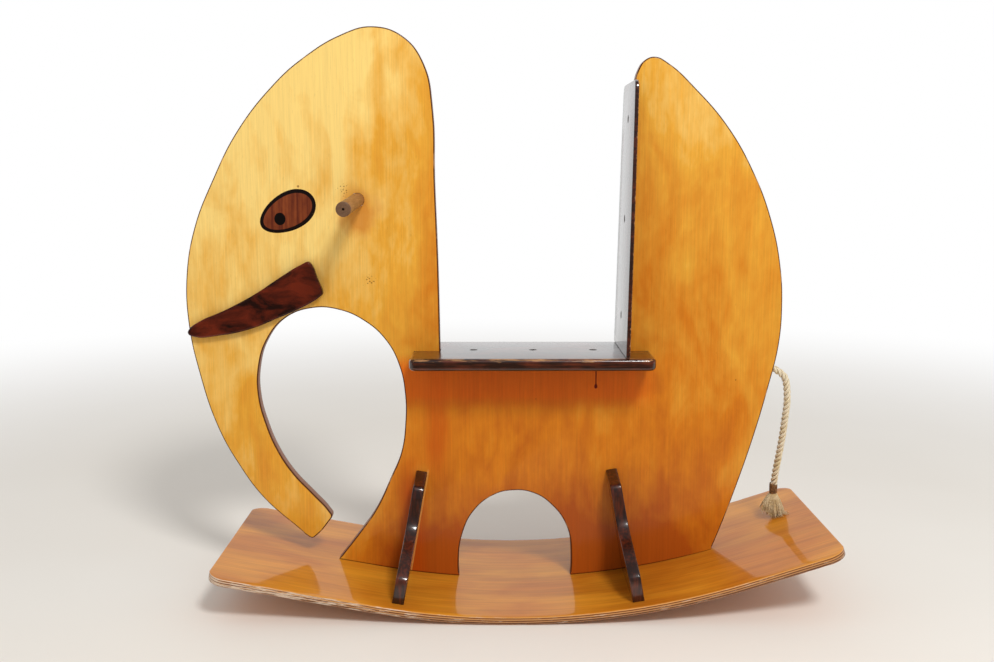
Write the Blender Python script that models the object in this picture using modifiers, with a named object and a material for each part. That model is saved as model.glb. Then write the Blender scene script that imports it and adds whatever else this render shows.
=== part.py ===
"""Rocking elephant: a child's ride-on toy of sawn and bent plywood.

One upright board is the animal. It stands on a bent plywood base between four braces,
and carries a seat, a backrest, a handle, two tusks and a rope tail.
X runs from head to tail, Y across the toy, Z up, in metres. The toy stands at rest, and
the origin is on the floor under its middle.
"""

import math

import bmesh
import bpy
from mathutils import Matrix, Vector

# Fits
FIT = 0.0003  # gap left between two pieces that touch
ROPE_FIT = 0.0006  # the same round the rope, which bends at the mouth of its hole

# Sheet and rod
BOARD_THICK = 0.016
BASE_THICK = 0.010
SEAT_THICK = 0.016
BACKREST_THICK = 0.005
BRACE_THICK = 0.015
TUSK_THICK = 0.010
HANDLE_DIAMETER = 0.018
ROPE_DIAMETER = 0.0095

# Bent base: its top face is an arc about the low point, straight past both ends of the bend
BASE_WIDTH = 0.274
BASE_FRONT_X = -0.3755
BASE_REAR_X = 0.4174
BASE_LOW_X = 0.003
BEND_RADIUS = 0.965
BEND_AHEAD = 0.176
BEND_BEHIND = 0.298
BEND_STEPS = 24
BASE_CORNER = 0.024
REST_FLAT = 0.036  # length of the level flat under its low point

# Seat
SEAT_TOP = 0.3232
SEAT_FRONT_X = -0.127
SEAT_REAR_X = 0.187
SEAT_WIDTH = 0.138
SEAT_CORNER = 0.011
SEAT_ROUND = 0.005
SEAT_SCREW_X = (-0.046, 0.0325, 0.112)

# Backrest: it stands on the seat and leans on the rump's front edge
BACKREST_X = 0.1476  # its front face, where it meets the seat
BACKREST_LEAN = math.radians(1.0)
BACKREST_HEIGHT = 0.345
BACKREST_TOP_WIDTH = 0.117
BACKREST_CORNER = 0.010
BACKREST_ROUND = 0.0012
BACKREST_SCREW_HEIGHT = (0.0465, 0.1725, 0.2995)  # above the seat

# Handle: a dowel through the head, which droops a little towards one side
HANDLE_X = -0.195
HANDLE_HEIGHT = 0.5207
HANDLE_LENGTH = 0.275
HANDLE_DROOP = math.radians(2.9)
HANDLE_CHAMFER = 0.001
CENTRE_HOLE_DIAMETER = 0.003  # left in each end by the lathe
CENTRE_HOLE_DEPTH = 0.006

# Braces: each stands square to the base and leans towards the middle of the toy
FRONT_BRACE_X = -0.140
REAR_BRACE_X = 0.1625
BRACE_LEAN = math.radians(10.0)
BRACE_HEIGHT = 0.142
BRACE_REACH = 0.120  # from the middle of the board to the nose
BRACE_ROUND = 0.0015

# Countersunk wood screws
SCREW_HEAD_DIAMETER = 0.0095
SCREW_SHANK_DIAMETER = 0.0045
SCREW_SUNK = 0.0002  # how far a head lies under the face round it
SEAT_SCREW_LENGTH = 0.045
BACKREST_SCREW_LENGTH = 0.032
BASE_SCREW_LENGTH = 0.036
FOOT_SCREW_X = (-0.190, -0.100, 0.122, 0.222)
BRACE_SCREW_Y = 0.088

# Body board outline, as (x, z) points that a smooth line runs through
EDGE_ROUND = 0.0012
HEAD_REAR_X = -0.0895  # rear edge of the head, at the seat
BROW_AND_TRUNK = (
    (-0.0917, 0.440), (-0.0950, 0.546), (-0.0970, 0.637), (-0.1075, 0.691),
    (-0.1330, 0.7245), (-0.1720, 0.7370), (-0.2100, 0.7275), (-0.2620, 0.697),
    (-0.2960, 0.668), (-0.3460, 0.608), (-0.3800, 0.546), (-0.4060, 0.485),
    (-0.4190, 0.422), (-0.4190, 0.359), (-0.4080, 0.295), (-0.3860, 0.2195),
    (-0.3600, 0.168), (-0.3290, 0.123), (-0.2810, 0.078),
)
TRUNK_TIP = (
    (-0.2710, 0.0690), (-0.2650, 0.0662), (-0.2600, 0.0690),
    (-0.2420, 0.0895), (-0.2375, 0.0970), (-0.2410, 0.1040),
)
UNDER_TRUNK = (
    (-0.2610, 0.127), (-0.2870, 0.156), (-0.3070, 0.188), (-0.3215, 0.225),
    (-0.3300, 0.263), (-0.3290, 0.301), (-0.3170, 0.338), (-0.2920, 0.367),
    (-0.2570, 0.380), (-0.2230, 0.378), (-0.1890, 0.363), (-0.1610, 0.337),
    (-0.1440, 0.303), (-0.1370, 0.265), (-0.1370, 0.227), (-0.1430, 0.186),
    (-0.1580, 0.149), (-0.1790, 0.105), (-0.2030, 0.071), (-0.2290, 0.037),
)
FRONT_FOOT = ((-0.2490, 0.010), (-0.0640, -0.012))  # corners, trimmed to the base later
ARCH = (
    (-0.0672, 0.035), (-0.0615, 0.073), (-0.0462, 0.1042), (-0.0193, 0.1262),
    (0.0060, 0.1325), (0.0333, 0.129), (0.0570, 0.1138), (0.0792, 0.082), (0.0855, 0.042),
)
REAR_FOOT = ((0.0820, -0.012), (0.2600, 0.010))  # corners, trimmed to the base later
RUMP = (
    (0.2870, 0.080), (0.3090, 0.145), (0.3290, 0.212), (0.3450, 0.276),
    (0.3560, 0.330), (0.3585, 0.380), (0.3540, 0.435), (0.3390, 0.497),
    (0.3140, 0.557), (0.2800, 0.613), (0.2370, 0.661),
)
# The rump's crown, as (distance behind the rump's front edge, z)
RUMP_CROWN = ((0.0410, 0.6930), (0.0250, 0.7000), (0.0120, 0.6955), (0.0040, 0.6830))
RUMP_CROWN_FOOT = 0.668

# Tusk outline, as (x, z) points
TUSK_ROUND = 0.003
TUSK_TOP = (
    (-0.4170, 0.3525), (-0.4090, 0.360), (-0.3700, 0.378), (-0.3300, 0.399),
    (-0.2940, 0.4225), (-0.2660, 0.4390), (-0.2590, 0.4415), (-0.2545, 0.4380),
)
TUSK_UNDER = (
    (-0.2480, 0.421), (-0.2415, 0.4040), (-0.2410, 0.4000), (-0.2440, 0.3965),
    (-0.2670, 0.3825), (-0.3000, 0.3680), (-0.3380, 0.3530), (-0.3770, 0.3450),
    (-0.4130, 0.3440), (-0.4180, 0.3480),
)

# Brace outline, as (distance out from the middle of the board, height above the base) points.
# It runs from the board down the outer side: a blunt head, a hollow waist and a long toe.
BRACE_FOOT_DEPTH = 0.020  # how far the outline runs below the base before it is trimmed
BRACE_HEAD = ((0.0360, 0.1320), (0.0430, 0.1290), (0.0465, 0.1220))
BRACE_WAIST = ((0.0495, 0.1010), (0.0540, 0.0820), (0.0660, 0.0690), (0.0850, 0.0570))
BRACE_TOE_HEIGHT = 0.034

# Tail: a rope let into the rump's rear edge, bound near its end and frayed into a tassel
TAIL_MOUTH = (0.3516, 0.0, 0.2975)
TAIL_DIP = math.radians(14.0)  # the hole is square to the sloping edge
TAIL_DEPTH = 0.016
TAIL_STRAIGHT = 0.003  # straight run outside the edge
TAIL_ROUTE = (
    (0.3690, 0.0015, 0.2835), (0.3740, 0.0060, 0.2545), (0.3740, 0.0110, 0.2328),
    (0.3735, 0.0195, 0.2004), (0.3720, 0.0260, 0.1743), (0.3700, 0.0320, 0.1481),
    (0.3692, 0.0380, 0.1215), (0.3695, 0.0395, 0.1140),
)
WHIPPING_DIAMETER = 0.0130
WHIPPING_LENGTH = 0.022
TASSEL_WIDTH = 0.030
TASSEL_LENGTH = 0.050  # trimmed to the base later

CORNER, SMOOTH = "VECTOR", "AUTO"

for old in list(bpy.data.objects):
    bpy.data.objects.remove(old, do_unlink=True)

elephant = bpy.data.collections.new("rocking_elephant")
cutters = bpy.data.collections.new("cutters")
bpy.context.scene.collection.children.link(elephant)
bpy.context.scene.collection.children.link(cutters)
toy = bpy.data.objects.new("toy", None)
elephant.objects.link(toy)


# Materials
def finish(name, colour, roughness, metallic=0.0):
    material = bpy.data.materials.new(name)
    material.use_nodes = True
    shader = material.node_tree.nodes["Principled BSDF"]
    shader.inputs["Base Color"].default_value = (*colour, 1.0)
    shader.inputs["Roughness"].default_value = roughness
    shader.inputs["Metallic"].default_value = metallic
    material.diffuse_color = (*colour, 1.0)
    return material


HONEY_PLY = finish("honey varnished plywood", (0.70, 0.34, 0.08), 0.30)
BASE_PLY = finish("amber varnished plywood", (0.58, 0.26, 0.07), 0.25)
DARK_BOARD = finish("dark stained board", (0.035, 0.012, 0.007), 0.28)
TUSK_WOOD = finish("red-brown stained wood", (0.075, 0.012, 0.008), 0.32)
DOWEL = finish("varnished beech dowel", (0.33, 0.14, 0.06), 0.40)
STEEL = finish("blackened steel", (0.03, 0.025, 0.022), 0.45, 1.0)
SISAL = finish("sisal rope", (0.62, 0.47, 0.27), 0.85)
TWINE = finish("waxed twine", (0.16, 0.075, 0.025), 0.70)


# Objects
def new_object(name, data, place=Matrix(), paint=None):
    """Adds a piece of the toy, or a hidden cutter where it has no paint."""
    made = bpy.data.objects.new(name, data)
    made.matrix_world = place
    if paint:
        elephant.objects.link(made)
        data.materials.append(paint)
        made.parent = toy
    else:
        cutters.objects.link(made)
        made.hide_render = True
        made.display_type = "WIRE"
    return made


def mesh_of(curve):
    """The curve as a closed mesh, with its caps welded on and each flat face in one piece."""
    guide = new_object("guide", curve)
    bpy.context.view_layer.update()
    graph = bpy.context.evaluated_depsgraph_get()
    mesh = bpy.data.meshes.new_from_object(guide.evaluated_get(graph))
    bpy.data.objects.remove(guide, do_unlink=True)
    work = bmesh.new()
    work.from_mesh(mesh)
    bmesh.ops.remove_doubles(work, verts=work.verts, dist=0.00001)
    flat = math.radians(0.05)
    bmesh.ops.dissolve_limit(work, angle_limit=flat, verts=work.verts, edges=work.edges)
    bmesh.ops.recalc_face_normals(work, faces=work.faces)
    work.to_mesh(mesh)
    work.free()
    mesh.materials.clear()
    return mesh


def plate(outline, thickness, steps=4):
    """A mesh sawn from flat sheet: (x, y, handle) knots in its plane, half its thickness each way."""
    curve = bpy.data.curves.new("outline", "CURVE")
    curve.dimensions = "2D"
    curve.fill_mode = "BOTH"
    curve.extrude = thickness / 2
    curve.resolution_u = steps
    spline = curve.splines.new("BEZIER")
    spline.bezier_points.add(len(outline) - 1)
    for knot, (x, y, handle) in zip(spline.bezier_points, outline):
        knot.co = (x, y, 0.0)
        knot.handle_left_type = handle
        knot.handle_right_type = handle
    spline.use_cyclic_u = True
    return mesh_of(curve)


def box(low, high):
    """A mesh box between two corners."""
    low, high = Vector(low), Vector(high)
    mesh = bpy.data.meshes.new("box")
    work = bmesh.new()
    bmesh.ops.create_cube(work, size=1.0)
    bmesh.ops.scale(work, vec=high - low, verts=work.verts)
    bmesh.ops.translate(work, vec=(low + high) / 2, verts=work.verts)
    work.to_mesh(mesh)
    work.free()
    return mesh


def rod(radius, length, sides=32):
    """A mesh cylinder about Z, from its middle."""
    mesh = bpy.data.meshes.new("rod")
    work = bmesh.new()
    bmesh.ops.create_cone(
        work, cap_ends=True, segments=sides, radius1=radius, radius2=radius, depth=length
    )
    work.to_mesh(mesh)
    work.free()
    return mesh


def turned(name, profile, place, paint=None, steps=16):
    """A piece turned about its Z axis from (radius, height) points, top to bottom."""
    mesh = bpy.data.meshes.new(name)
    work = bmesh.new()
    points = [work.verts.new((radius, 0.0, height)) for radius, height in profile]
    for upper, lower in zip(points, points[1:]):
        work.edges.new((upper, lower))
    work.to_mesh(mesh)
    work.free()
    made = new_object(name, mesh, place, paint)
    lathe = made.modifiers.new("turn", "SCREW")
    lathe.steps = steps
    lathe.render_steps = steps
    lathe.use_merge_vertices = True
    lathe.merge_threshold = 0.00001
    return made


def round_edges(piece, width, segments=2):
    """Rounds the outer sharp edges of a piece, and leaves its inside corners sharp."""
    work = bmesh.new()
    work.from_mesh(piece.data)
    weight = work.edges.layers.float.new("bevel_weight_edge")
    for edge in work.edges:
        edge[weight] = float(edge.is_convex and edge.calc_face_angle() > math.radians(50))
    work.to_mesh(piece.data)
    work.free()
    bevel = piece.modifiers.new("rounded edges", "BEVEL")
    bevel.width = width
    bevel.segments = segments
    bevel.limit_method = "WEIGHT"


def cut(piece, cutter):
    saw = piece.modifiers.new(cutter.name, "BOOLEAN")
    saw.operation = "DIFFERENCE"
    saw.solver = "EXACT"
    saw.object = cutter


def round_corners(mesh, radius, along, segments=5):
    """Rounds the four corner edges of a plate, those that run along the given axis."""
    work = bmesh.new()
    work.from_mesh(mesh)
    work.normal_update()
    corners = []
    for edge in work.edges:
        run = edge.verts[1].co - edge.verts[0].co
        if abs(run.normalized().dot(along)) > 0.9 and edge.calc_face_angle() > 1.0:
            corners.append(edge)
    bmesh.ops.bevel(
        work, geom=corners, offset=radius, segments=segments, profile=0.5, affect="EDGES"
    )
    work.to_mesh(mesh)
    work.free()


def upright(x, y, z):
    """Stands a flat plate up: its own X stays X, its own Y becomes Z."""
    return Matrix.Translation((x, y, z)) @ Matrix.Rotation(math.pi / 2, 4, "X")


# Screws
def screw_profile(length, spare=0.0, head_room=0.0):
    """A countersunk screw's half outline from the top of its head, or with spare its hole."""
    head = SCREW_HEAD_DIAMETER / 2 + spare
    shank = SCREW_SHANK_DIAMETER / 2 + spare
    neck = (SCREW_HEAD_DIAMETER - SCREW_SHANK_DIAMETER) / 2
    edge = 0.0003
    top = [(0.0, head_room), (head, head_room)]
    if head_room:
        top.append((head, 0.0))
    cone = [(head, -edge), (shank, -edge - neck)]
    point = [(shank, neck - length), (0.0, -length - spare)]
    return top + cone + point


def drive_screw(name, length, place, pieces):
    """Puts a screw in, its head at the place and its point along -Z, and cuts its hole."""
    sunk = place @ Matrix.Translation((0.0, 0.0, -SCREW_SUNK))
    turned(name, screw_profile(length), sunk, STEEL)
    hole = turned(name + "_hole", screw_profile(length, FIT, BASE_THICK), sunk)
    for piece in pieces:
        cut(piece, hole)


# Bent base
def bent(x, radius):
    """Height of a bent face above its lowest point: an arc, and straight past the bend's ends."""
    away = x - BASE_LOW_X
    reach = BEND_AHEAD if away < 0 else BEND_BEHIND
    arc = min(abs(away), reach * radius / BEND_RADIUS)
    drop = math.sqrt(radius * radius - arc * arc)
    return radius - drop + (abs(away) - arc) * arc / drop


def base_top(x):
    return BASE_THICK + bent(x, BEND_RADIUS)


def base_slope(x):
    """Angle of the base's top face at x, positive where it climbs towards the tail."""
    away = x - BASE_LOW_X
    arc = max(-BEND_AHEAD, min(away, BEND_BEHIND))
    return math.asin(arc / BEND_RADIUS)


def bend_stations():
    start = BASE_LOW_X - BEND_AHEAD
    finish = BASE_LOW_X + BEND_BEHIND
    return [start + (finish - start) * i / BEND_STEPS for i in range(BEND_STEPS + 1)]


def base_profile():
    """The base seen from the side: its top face, and its underside with the flat it rests on."""
    stations = [BASE_FRONT_X, *bend_stations(), BASE_REAR_X]
    top = [(x, base_top(x), CORNER) for x in stations]
    outer = BEND_RADIUS + BASE_THICK
    flat_front, flat_rear = BASE_LOW_X - REST_FLAT / 2, BASE_LOW_X + REST_FLAT / 2
    level = bent(flat_rear, outer)
    under = []
    for x in stations:
        below = x + BASE_THICK * math.sin(base_slope(x))
        if not flat_front < below < flat_rear:
            under.append((below, bent(below, outer) - level, CORNER))
    under += [(flat_front, 0.0, CORNER), (flat_rear, 0.0, CORNER)]
    return top + sorted(under, reverse=True)


def ground_profile():
    """Everything below the base's top face, with the gap that a seated foot keeps to it."""
    margin = 0.05
    stations = [BASE_FRONT_X - margin, *bend_stations(), BASE_REAR_X + margin]
    top = [(x, base_top(x) + FIT, CORNER) for x in stations]
    return [(stations[0], -margin, CORNER), *top, (stations[-1], -margin, CORNER)]


base_mesh = plate(base_profile(), BASE_WIDTH, steps=1)
round_corners(base_mesh, BASE_CORNER, Vector((0.0, 1.0, 0.0)))
rocker_base = new_object("rocker_base", base_mesh, upright(0.0, 0.0, 0.0), BASE_PLY)
round_edges(rocker_base, EDGE_ROUND)
ground = new_object("ground", plate(ground_profile(), 2 * BASE_WIDTH, steps=1), upright(0, 0, 0))


# Seat, slotted at both ends to straddle the head and the rump
SEAT_UNDER = SEAT_TOP - SEAT_THICK


def rump_front(z):
    """X of the rump's front edge, which lies along the back of the leaning backrest."""
    back_face = BACKREST_X + BACKREST_THICK / math.cos(BACKREST_LEAN) + FIT
    return back_face + (z - SEAT_TOP) * math.tan(BACKREST_LEAN)


seat_low = (SEAT_FRONT_X, -SEAT_WIDTH / 2, SEAT_UNDER)
seat_high = (SEAT_REAR_X, SEAT_WIDTH / 2, SEAT_TOP)
seat_mesh = box(seat_low, seat_high)
round_corners(seat_mesh, SEAT_CORNER, Vector((0.0, 0.0, 1.0)))
seat = new_object("seat", seat_mesh, Matrix(), DARK_BOARD)
round_edges(seat, SEAT_ROUND, 3)
slot = BOARD_THICK / 2 + FIT
front_slot_low = (SEAT_FRONT_X - SEAT_THICK, -slot, SEAT_UNDER - SEAT_THICK)
front_slot_high = (HEAD_REAR_X + FIT, slot, SEAT_TOP + SEAT_THICK)
rear_slot_low = (rump_front(SEAT_UNDER) - FIT, -slot, SEAT_UNDER - SEAT_THICK)
rear_slot_high = (SEAT_REAR_X + SEAT_THICK, slot, SEAT_TOP + SEAT_THICK)
cut(seat, new_object("head_slot", box(front_slot_low, front_slot_high)))
cut(seat, new_object("rump_slot", box(rear_slot_low, rear_slot_high)))

# Backrest, drawn from its foot up in its own leaning plane
foot, top = SEAT_WIDTH / 2, BACKREST_TOP_WIDTH / 2
taper = (foot - top) / BACKREST_HEIGHT
lean = Matrix.Rotation(BACKREST_LEAN, 4, "Y")
facing = Matrix(((0, 0, 1, 0), (1, 0, 0, 0), (0, 1, 0, 0), (0, 0, 0, 1)))
stand = Matrix.Translation((BACKREST_X, 0.0, SEAT_TOP + FIT)) @ lean
middle = Matrix.Translation((BACKREST_THICK / 2, 0.0, 0.0))
shoulder = BACKREST_HEIGHT - BACKREST_CORNER
quarter = BACKREST_CORNER * 0.3
backrest_outline = [
    (-foot, 0.0, CORNER),
    (-top - taper * BACKREST_CORNER, shoulder, SMOOTH),
    (-top + quarter, BACKREST_HEIGHT - quarter, SMOOTH),
    (-top + BACKREST_CORNER, BACKREST_HEIGHT, CORNER),
    (top - BACKREST_CORNER, BACKREST_HEIGHT, CORNER),
    (top - quarter, BACKREST_HEIGHT - quarter, SMOOTH),
    (top + taper * BACKREST_CORNER, shoulder, SMOOTH),
    (foot, 0.0, CORNER),
]
backrest_mesh = plate(backrest_outline, BACKREST_THICK)
backrest = new_object("backrest", backrest_mesh, stand @ middle @ facing, DARK_BOARD)
round_edges(backrest, BACKREST_ROUND)


# Body board
def board_outline():
    """Round the elephant from the saddle: head, trunk, front foot, arch, rear foot, rump."""
    floor = SEAT_UNDER - FIT
    outline = [(HEAD_REAR_X, floor, CORNER)]
    outline += [(x, z, SMOOTH) for x, z in BROW_AND_TRUNK + TRUNK_TIP + UNDER_TRUNK]
    outline += [(x, z, CORNER) for x, z in FRONT_FOOT]
    outline += [(x, z, SMOOTH) for x, z in ARCH]
    outline += [(x, z, CORNER) for x, z in REAR_FOOT]
    outline += [(x, z, SMOOTH) for x, z in RUMP]
    outline += [(rump_front(z) + behind, z, SMOOTH) for behind, z in RUMP_CROWN]
    outline.append((rump_front(RUMP_CROWN_FOOT), RUMP_CROWN_FOOT, CORNER))
    outline.append((rump_front(floor), floor, CORNER))
    return outline


board_mesh = plate(board_outline(), BOARD_THICK)
body_board = new_object("body_board", board_mesh, upright(0.0, 0.0, 0.0), HONEY_PLY)
round_edges(body_board, EDGE_ROUND, 1)
cut(body_board, ground)

# Tusks, one on each face of the head
tusk_outline = [(x, z, SMOOTH) for x, z in TUSK_TOP + TUSK_UNDER]
tusk_mesh = plate(tusk_outline, TUSK_THICK, steps=3)
tusk_y = BOARD_THICK / 2 + FIT + TUSK_THICK / 2
for side, y in (("near", -tusk_y), ("far", tusk_y)):
    tusk = new_object("tusk_" + side, tusk_mesh.copy(), upright(0.0, y, 0.0), TUSK_WOOD)
    round_edges(tusk, TUSK_ROUND)

# Handle
through = Matrix.Translation((HANDLE_X, 0.0, HANDLE_HEIGHT))
through @= Matrix.Rotation(-math.pi / 2 + HANDLE_DROOP, 4, "X")
handle = new_object("handle_dowel", rod(HANDLE_DIAMETER / 2, HANDLE_LENGTH), through, DOWEL)
round_edges(handle, HANDLE_CHAMFER, 1)
handle_hole = rod(HANDLE_DIAMETER / 2 + FIT, 4 * BOARD_THICK)
cut(body_board, new_object("handle_hole", handle_hole, through))
for end in (-1, 1):
    at_end = through @ Matrix.Translation((0.0, 0.0, end * HANDLE_LENGTH / 2))
    centre_hole = rod(CENTRE_HOLE_DIAMETER / 2, 2 * CENTRE_HOLE_DEPTH, 12)
    cut(handle, new_object("centre_hole", centre_hole, at_end))


# Braces
def brace_outline():
    """One brace from the side, as (distance out, height above the base), foot left long."""
    inner = BOARD_THICK / 2 + FIT
    nose = BRACE_REACH
    outline = [(inner, -BRACE_FOOT_DEPTH, CORNER), (inner, BRACE_HEIGHT, CORNER)]
    outline += [(out, height, SMOOTH) for out, height in BRACE_HEAD + BRACE_WAIST]
    outline += [
        (nose - 0.004, BRACE_TOE_HEIGHT + 0.0015, SMOOTH),
        (nose, BRACE_TOE_HEIGHT - 0.004, SMOOTH),
        (nose, -BRACE_FOOT_DEPTH, CORNER),
    ]
    return outline


def brace_place(x, side):
    """Stands a brace at x on the side that is given as -1 or 1, leaning towards the middle."""
    tilt = BRACE_LEAN if x < BASE_LOW_X else -BRACE_LEAN
    up = Vector((math.sin(tilt), 0.0, math.cos(tilt)))
    out = Vector((0.0, side, 0.0))
    turn = Matrix((out, up, out.cross(up))).transposed().to_4x4()
    return Matrix.Translation((x, 0.0, base_top(x))) @ turn


brace_mesh = plate(brace_outline(), BRACE_THICK, steps=3)
for end, x in (("front", FRONT_BRACE_X), ("rear", REAR_BRACE_X)):
    for side, sign in (("near", -1), ("far", 1)):
        name = end + "_brace_" + side
        place = brace_place(x, sign)
        brace = new_object(name, brace_mesh.copy(), place, DARK_BOARD)
        round_edges(brace, BRACE_ROUND)
        cut(brace, ground)
        head = Matrix.Translation((BRACE_SCREW_Y, -BASE_THICK, 0.0))
        point_up = Matrix.Rotation(math.pi / 2, 4, "X")
        drive_screw(name + "_screw", BASE_SCREW_LENGTH, place @ head @ point_up, (rocker_base, brace))

# Screws through the base into the feet, square to its underside
for number, x in enumerate(FOOT_SCREW_X, 1):
    tilt = Matrix.Rotation(-base_slope(x), 4, "Y")
    head = Matrix.Translation((0.0, 0.0, -BASE_THICK)) @ Matrix.Rotation(math.pi, 4, "X")
    place = Matrix.Translation((x, 0.0, base_top(x))) @ tilt @ head
    drive_screw(f"foot_screw_{number}", BASE_SCREW_LENGTH, place, (rocker_base, body_board))

# Screws through the seat and the backrest into the board's edges
for number, x in enumerate(SEAT_SCREW_X, 1):
    place = Matrix.Translation((x, 0.0, SEAT_TOP))
    drive_screw(f"seat_screw_{number}", SEAT_SCREW_LENGTH, place, (seat, body_board))
for number, height in enumerate(BACKREST_SCREW_HEIGHT, 1):
    point_back = Matrix.Translation((0.0, 0.0, height)) @ Matrix.Rotation(-math.pi / 2, 4, "Y")
    name = f"backrest_screw_{number}"
    drive_screw(name, BACKREST_SCREW_LENGTH, stand @ point_back, (backrest, body_board))


# Tail
def smooth_route(points, spacing):
    """Points about one spacing apart on the smooth curve through the route's own points."""
    ends = [2 * points[0] - points[1], *points, 2 * points[-1] - points[-2]]
    fine = [points[0]]
    for before, start, finish, after in zip(ends, ends[1:], ends[2:], ends[3:]):
        for step in range(1, 21):
            t = step / 20
            pull = (finish - before) * t + (2 * before - 5 * start + 4 * finish - after) * t**2
            fine.append(start + (pull + (3 * start - before - 3 * finish + after) * t**3) / 2)
    lengths = [(b - a).length for a, b in zip(fine, fine[1:])]
    pace = sum(lengths) / round(sum(lengths) / spacing)
    route, walked = [fine[0]], 0.0
    for point, length in zip(fine[1:], lengths):
        walked += length
        if walked > len(route) * pace - length / 2:
            route.append(point)
    return route


dip = Vector((math.cos(TAIL_DIP), 0.0, -math.sin(TAIL_DIP)))
mouth = Vector(TAIL_MOUTH)
tail_points = [mouth - TAIL_DEPTH * dip, mouth + TAIL_STRAIGHT * dip]
tail_points += smooth_route([tail_points[1], *map(Vector, TAIL_ROUTE)], 2 * ROPE_DIAMETER)[1:]
tail_curve = bpy.data.curves.new("tail_rope", "CURVE")
tail_curve.dimensions = "3D"
tail_curve.bevel_depth = ROPE_DIAMETER / 2
tail_curve.bevel_resolution = 3
tail_curve.use_fill_caps = True
tail_line = tail_curve.splines.new("POLY")
tail_line.points.add(len(tail_points) - 1)
for knot, point in zip(tail_line.points, tail_points):
    knot.co = (*point, 1.0)
new_object("tail_rope", tail_curve, Matrix(), SISAL)

hole_aim = dip.to_track_quat("Z", "Y").to_matrix().to_4x4()
hole_reach = 2 * TAIL_DEPTH
inner_end = mouth + (hole_reach / 2 - TAIL_DEPTH - FIT) * dip
hole = rod(ROPE_DIAMETER / 2 + ROPE_FIT, hole_reach)
cut(body_board, new_object("tail_hole", hole, Matrix.Translation(inner_end) @ hole_aim))

# The binding is a sleeve round the rope's end, and the tassel spreads below it
fall = (tail_points[-1] - tail_points[-2]).normalized()
hang = Matrix.Translation(tail_points[-1]) @ (-fall).to_track_quat("Z", "Y").to_matrix().to_4x4()
sleeve, bore = WHIPPING_DIAMETER / 2, ROPE_DIAMETER / 2 + FIT
binding = [
    (bore, WHIPPING_LENGTH), (sleeve - 0.0008, WHIPPING_LENGTH), (sleeve, WHIPPING_LENGTH - 0.001),
    (sleeve, 0.001), (sleeve - 0.0008, 0.0), (bore, 0.0), (bore, WHIPPING_LENGTH),
]
turned("tail_whipping", binding, hang, TWINE, 24)
fringe = TASSEL_WIDTH / 2
tuft = [
    (0.0, -FIT), (0.7 * ROPE_DIAMETER, -FIT - 0.001), (0.55 * fringe, -0.25 * TASSEL_LENGTH),
    (0.9 * fringe, -0.5 * TASSEL_LENGTH), (fringe, -TASSEL_LENGTH), (0.0, -TASSEL_LENGTH),
]
tassel = turned("tail_tassel", tuft, hang, SISAL, 20)
cut(tassel, ground)

# Smooth shading for the round pieces
for piece in elephant.objects:
    if piece.type == "MESH":
        piece.data.shade_smooth()
        piece.data.set_sharp_from_angle(angle=math.radians(35))
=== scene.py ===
import math

import bmesh
import bpy
import numpy as np
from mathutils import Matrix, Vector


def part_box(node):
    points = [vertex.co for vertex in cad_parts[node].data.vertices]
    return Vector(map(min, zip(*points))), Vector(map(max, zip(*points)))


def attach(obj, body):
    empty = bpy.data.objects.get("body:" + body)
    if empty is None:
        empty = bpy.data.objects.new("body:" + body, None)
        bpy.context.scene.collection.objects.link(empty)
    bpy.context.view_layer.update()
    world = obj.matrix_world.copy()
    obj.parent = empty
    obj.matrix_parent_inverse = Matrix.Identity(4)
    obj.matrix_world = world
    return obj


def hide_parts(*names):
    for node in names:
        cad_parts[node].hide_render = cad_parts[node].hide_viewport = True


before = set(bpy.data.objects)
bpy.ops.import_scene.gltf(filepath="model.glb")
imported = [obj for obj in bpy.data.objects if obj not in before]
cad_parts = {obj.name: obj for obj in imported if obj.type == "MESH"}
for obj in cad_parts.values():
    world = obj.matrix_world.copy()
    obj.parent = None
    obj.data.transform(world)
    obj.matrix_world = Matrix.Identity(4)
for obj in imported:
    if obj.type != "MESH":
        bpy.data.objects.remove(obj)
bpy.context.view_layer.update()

# Camera
# It stands where the photographer stood: 1.4 m in front of the toy, a little above the seat,
# looking slightly down.
camera = bpy.data.objects.new("camera", bpy.data.cameras.new("camera"))
camera.data.sensor_width = 36.0
camera.data.lens = 38.03
camera.location = (-0.0202, -1.3690, 0.5649)
camera.rotation_euler = (math.radians(90 - 8.984), 0.0, math.radians(-0.216))
bpy.context.scene.collection.objects.link(camera)
bpy.context.scene.camera = camera
bpy.context.scene.view_settings.view_transform = "Standard"


# Tail rope
# A sisal rope laid from three strands, glued into a hole in the rump's rear edge. It hangs
# free behind the toy, and its bound end comes down on the base.
ROPE_DIAMETER = 0.0095
ROPE_LAY = 0.022  # length in which a strand goes round once
STRAND_SHARE = 0.464  # three circles that touch inside a circle, to that circle's radius
STRAND_SIDES = 18
YARNS, YARN_LAY = 7, 0.0315  # in each strand
TAIL_MOUTH = np.array((0.3516, 0.0, 0.2975))
TAIL_DIP = math.radians(14.0)
TAIL_DEPTH = 0.016
TAIL_STRAIGHT = 0.003
TAIL_ROUTE = np.array((
    (0.3690, 0.0015, 0.2835), (0.3740, 0.0060, 0.2545), (0.3740, 0.0110, 0.2328),
    (0.3735, 0.0195, 0.2004), (0.3720, 0.0260, 0.1743), (0.3700, 0.0320, 0.1481),
    (0.3692, 0.0380, 0.1215), (0.3695, 0.0395, 0.1140),
))
SOIL_FROM, SOIL_TO = 0.175, 0.145  # heights between which its grooves turn brown
STRAYS = 120


def linear(code):
    """A colour from its sRGB hex code, turned to linear light."""
    shares = np.array([int(code[i:i + 2], 16) / 255 for i in (1, 3, 5)])
    low = shares / 12.92
    high = ((shares + 0.055) / 1.055) ** 2.4
    return (*np.where(shares <= 0.04045, low, high).tolist(), 1.0)


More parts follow.
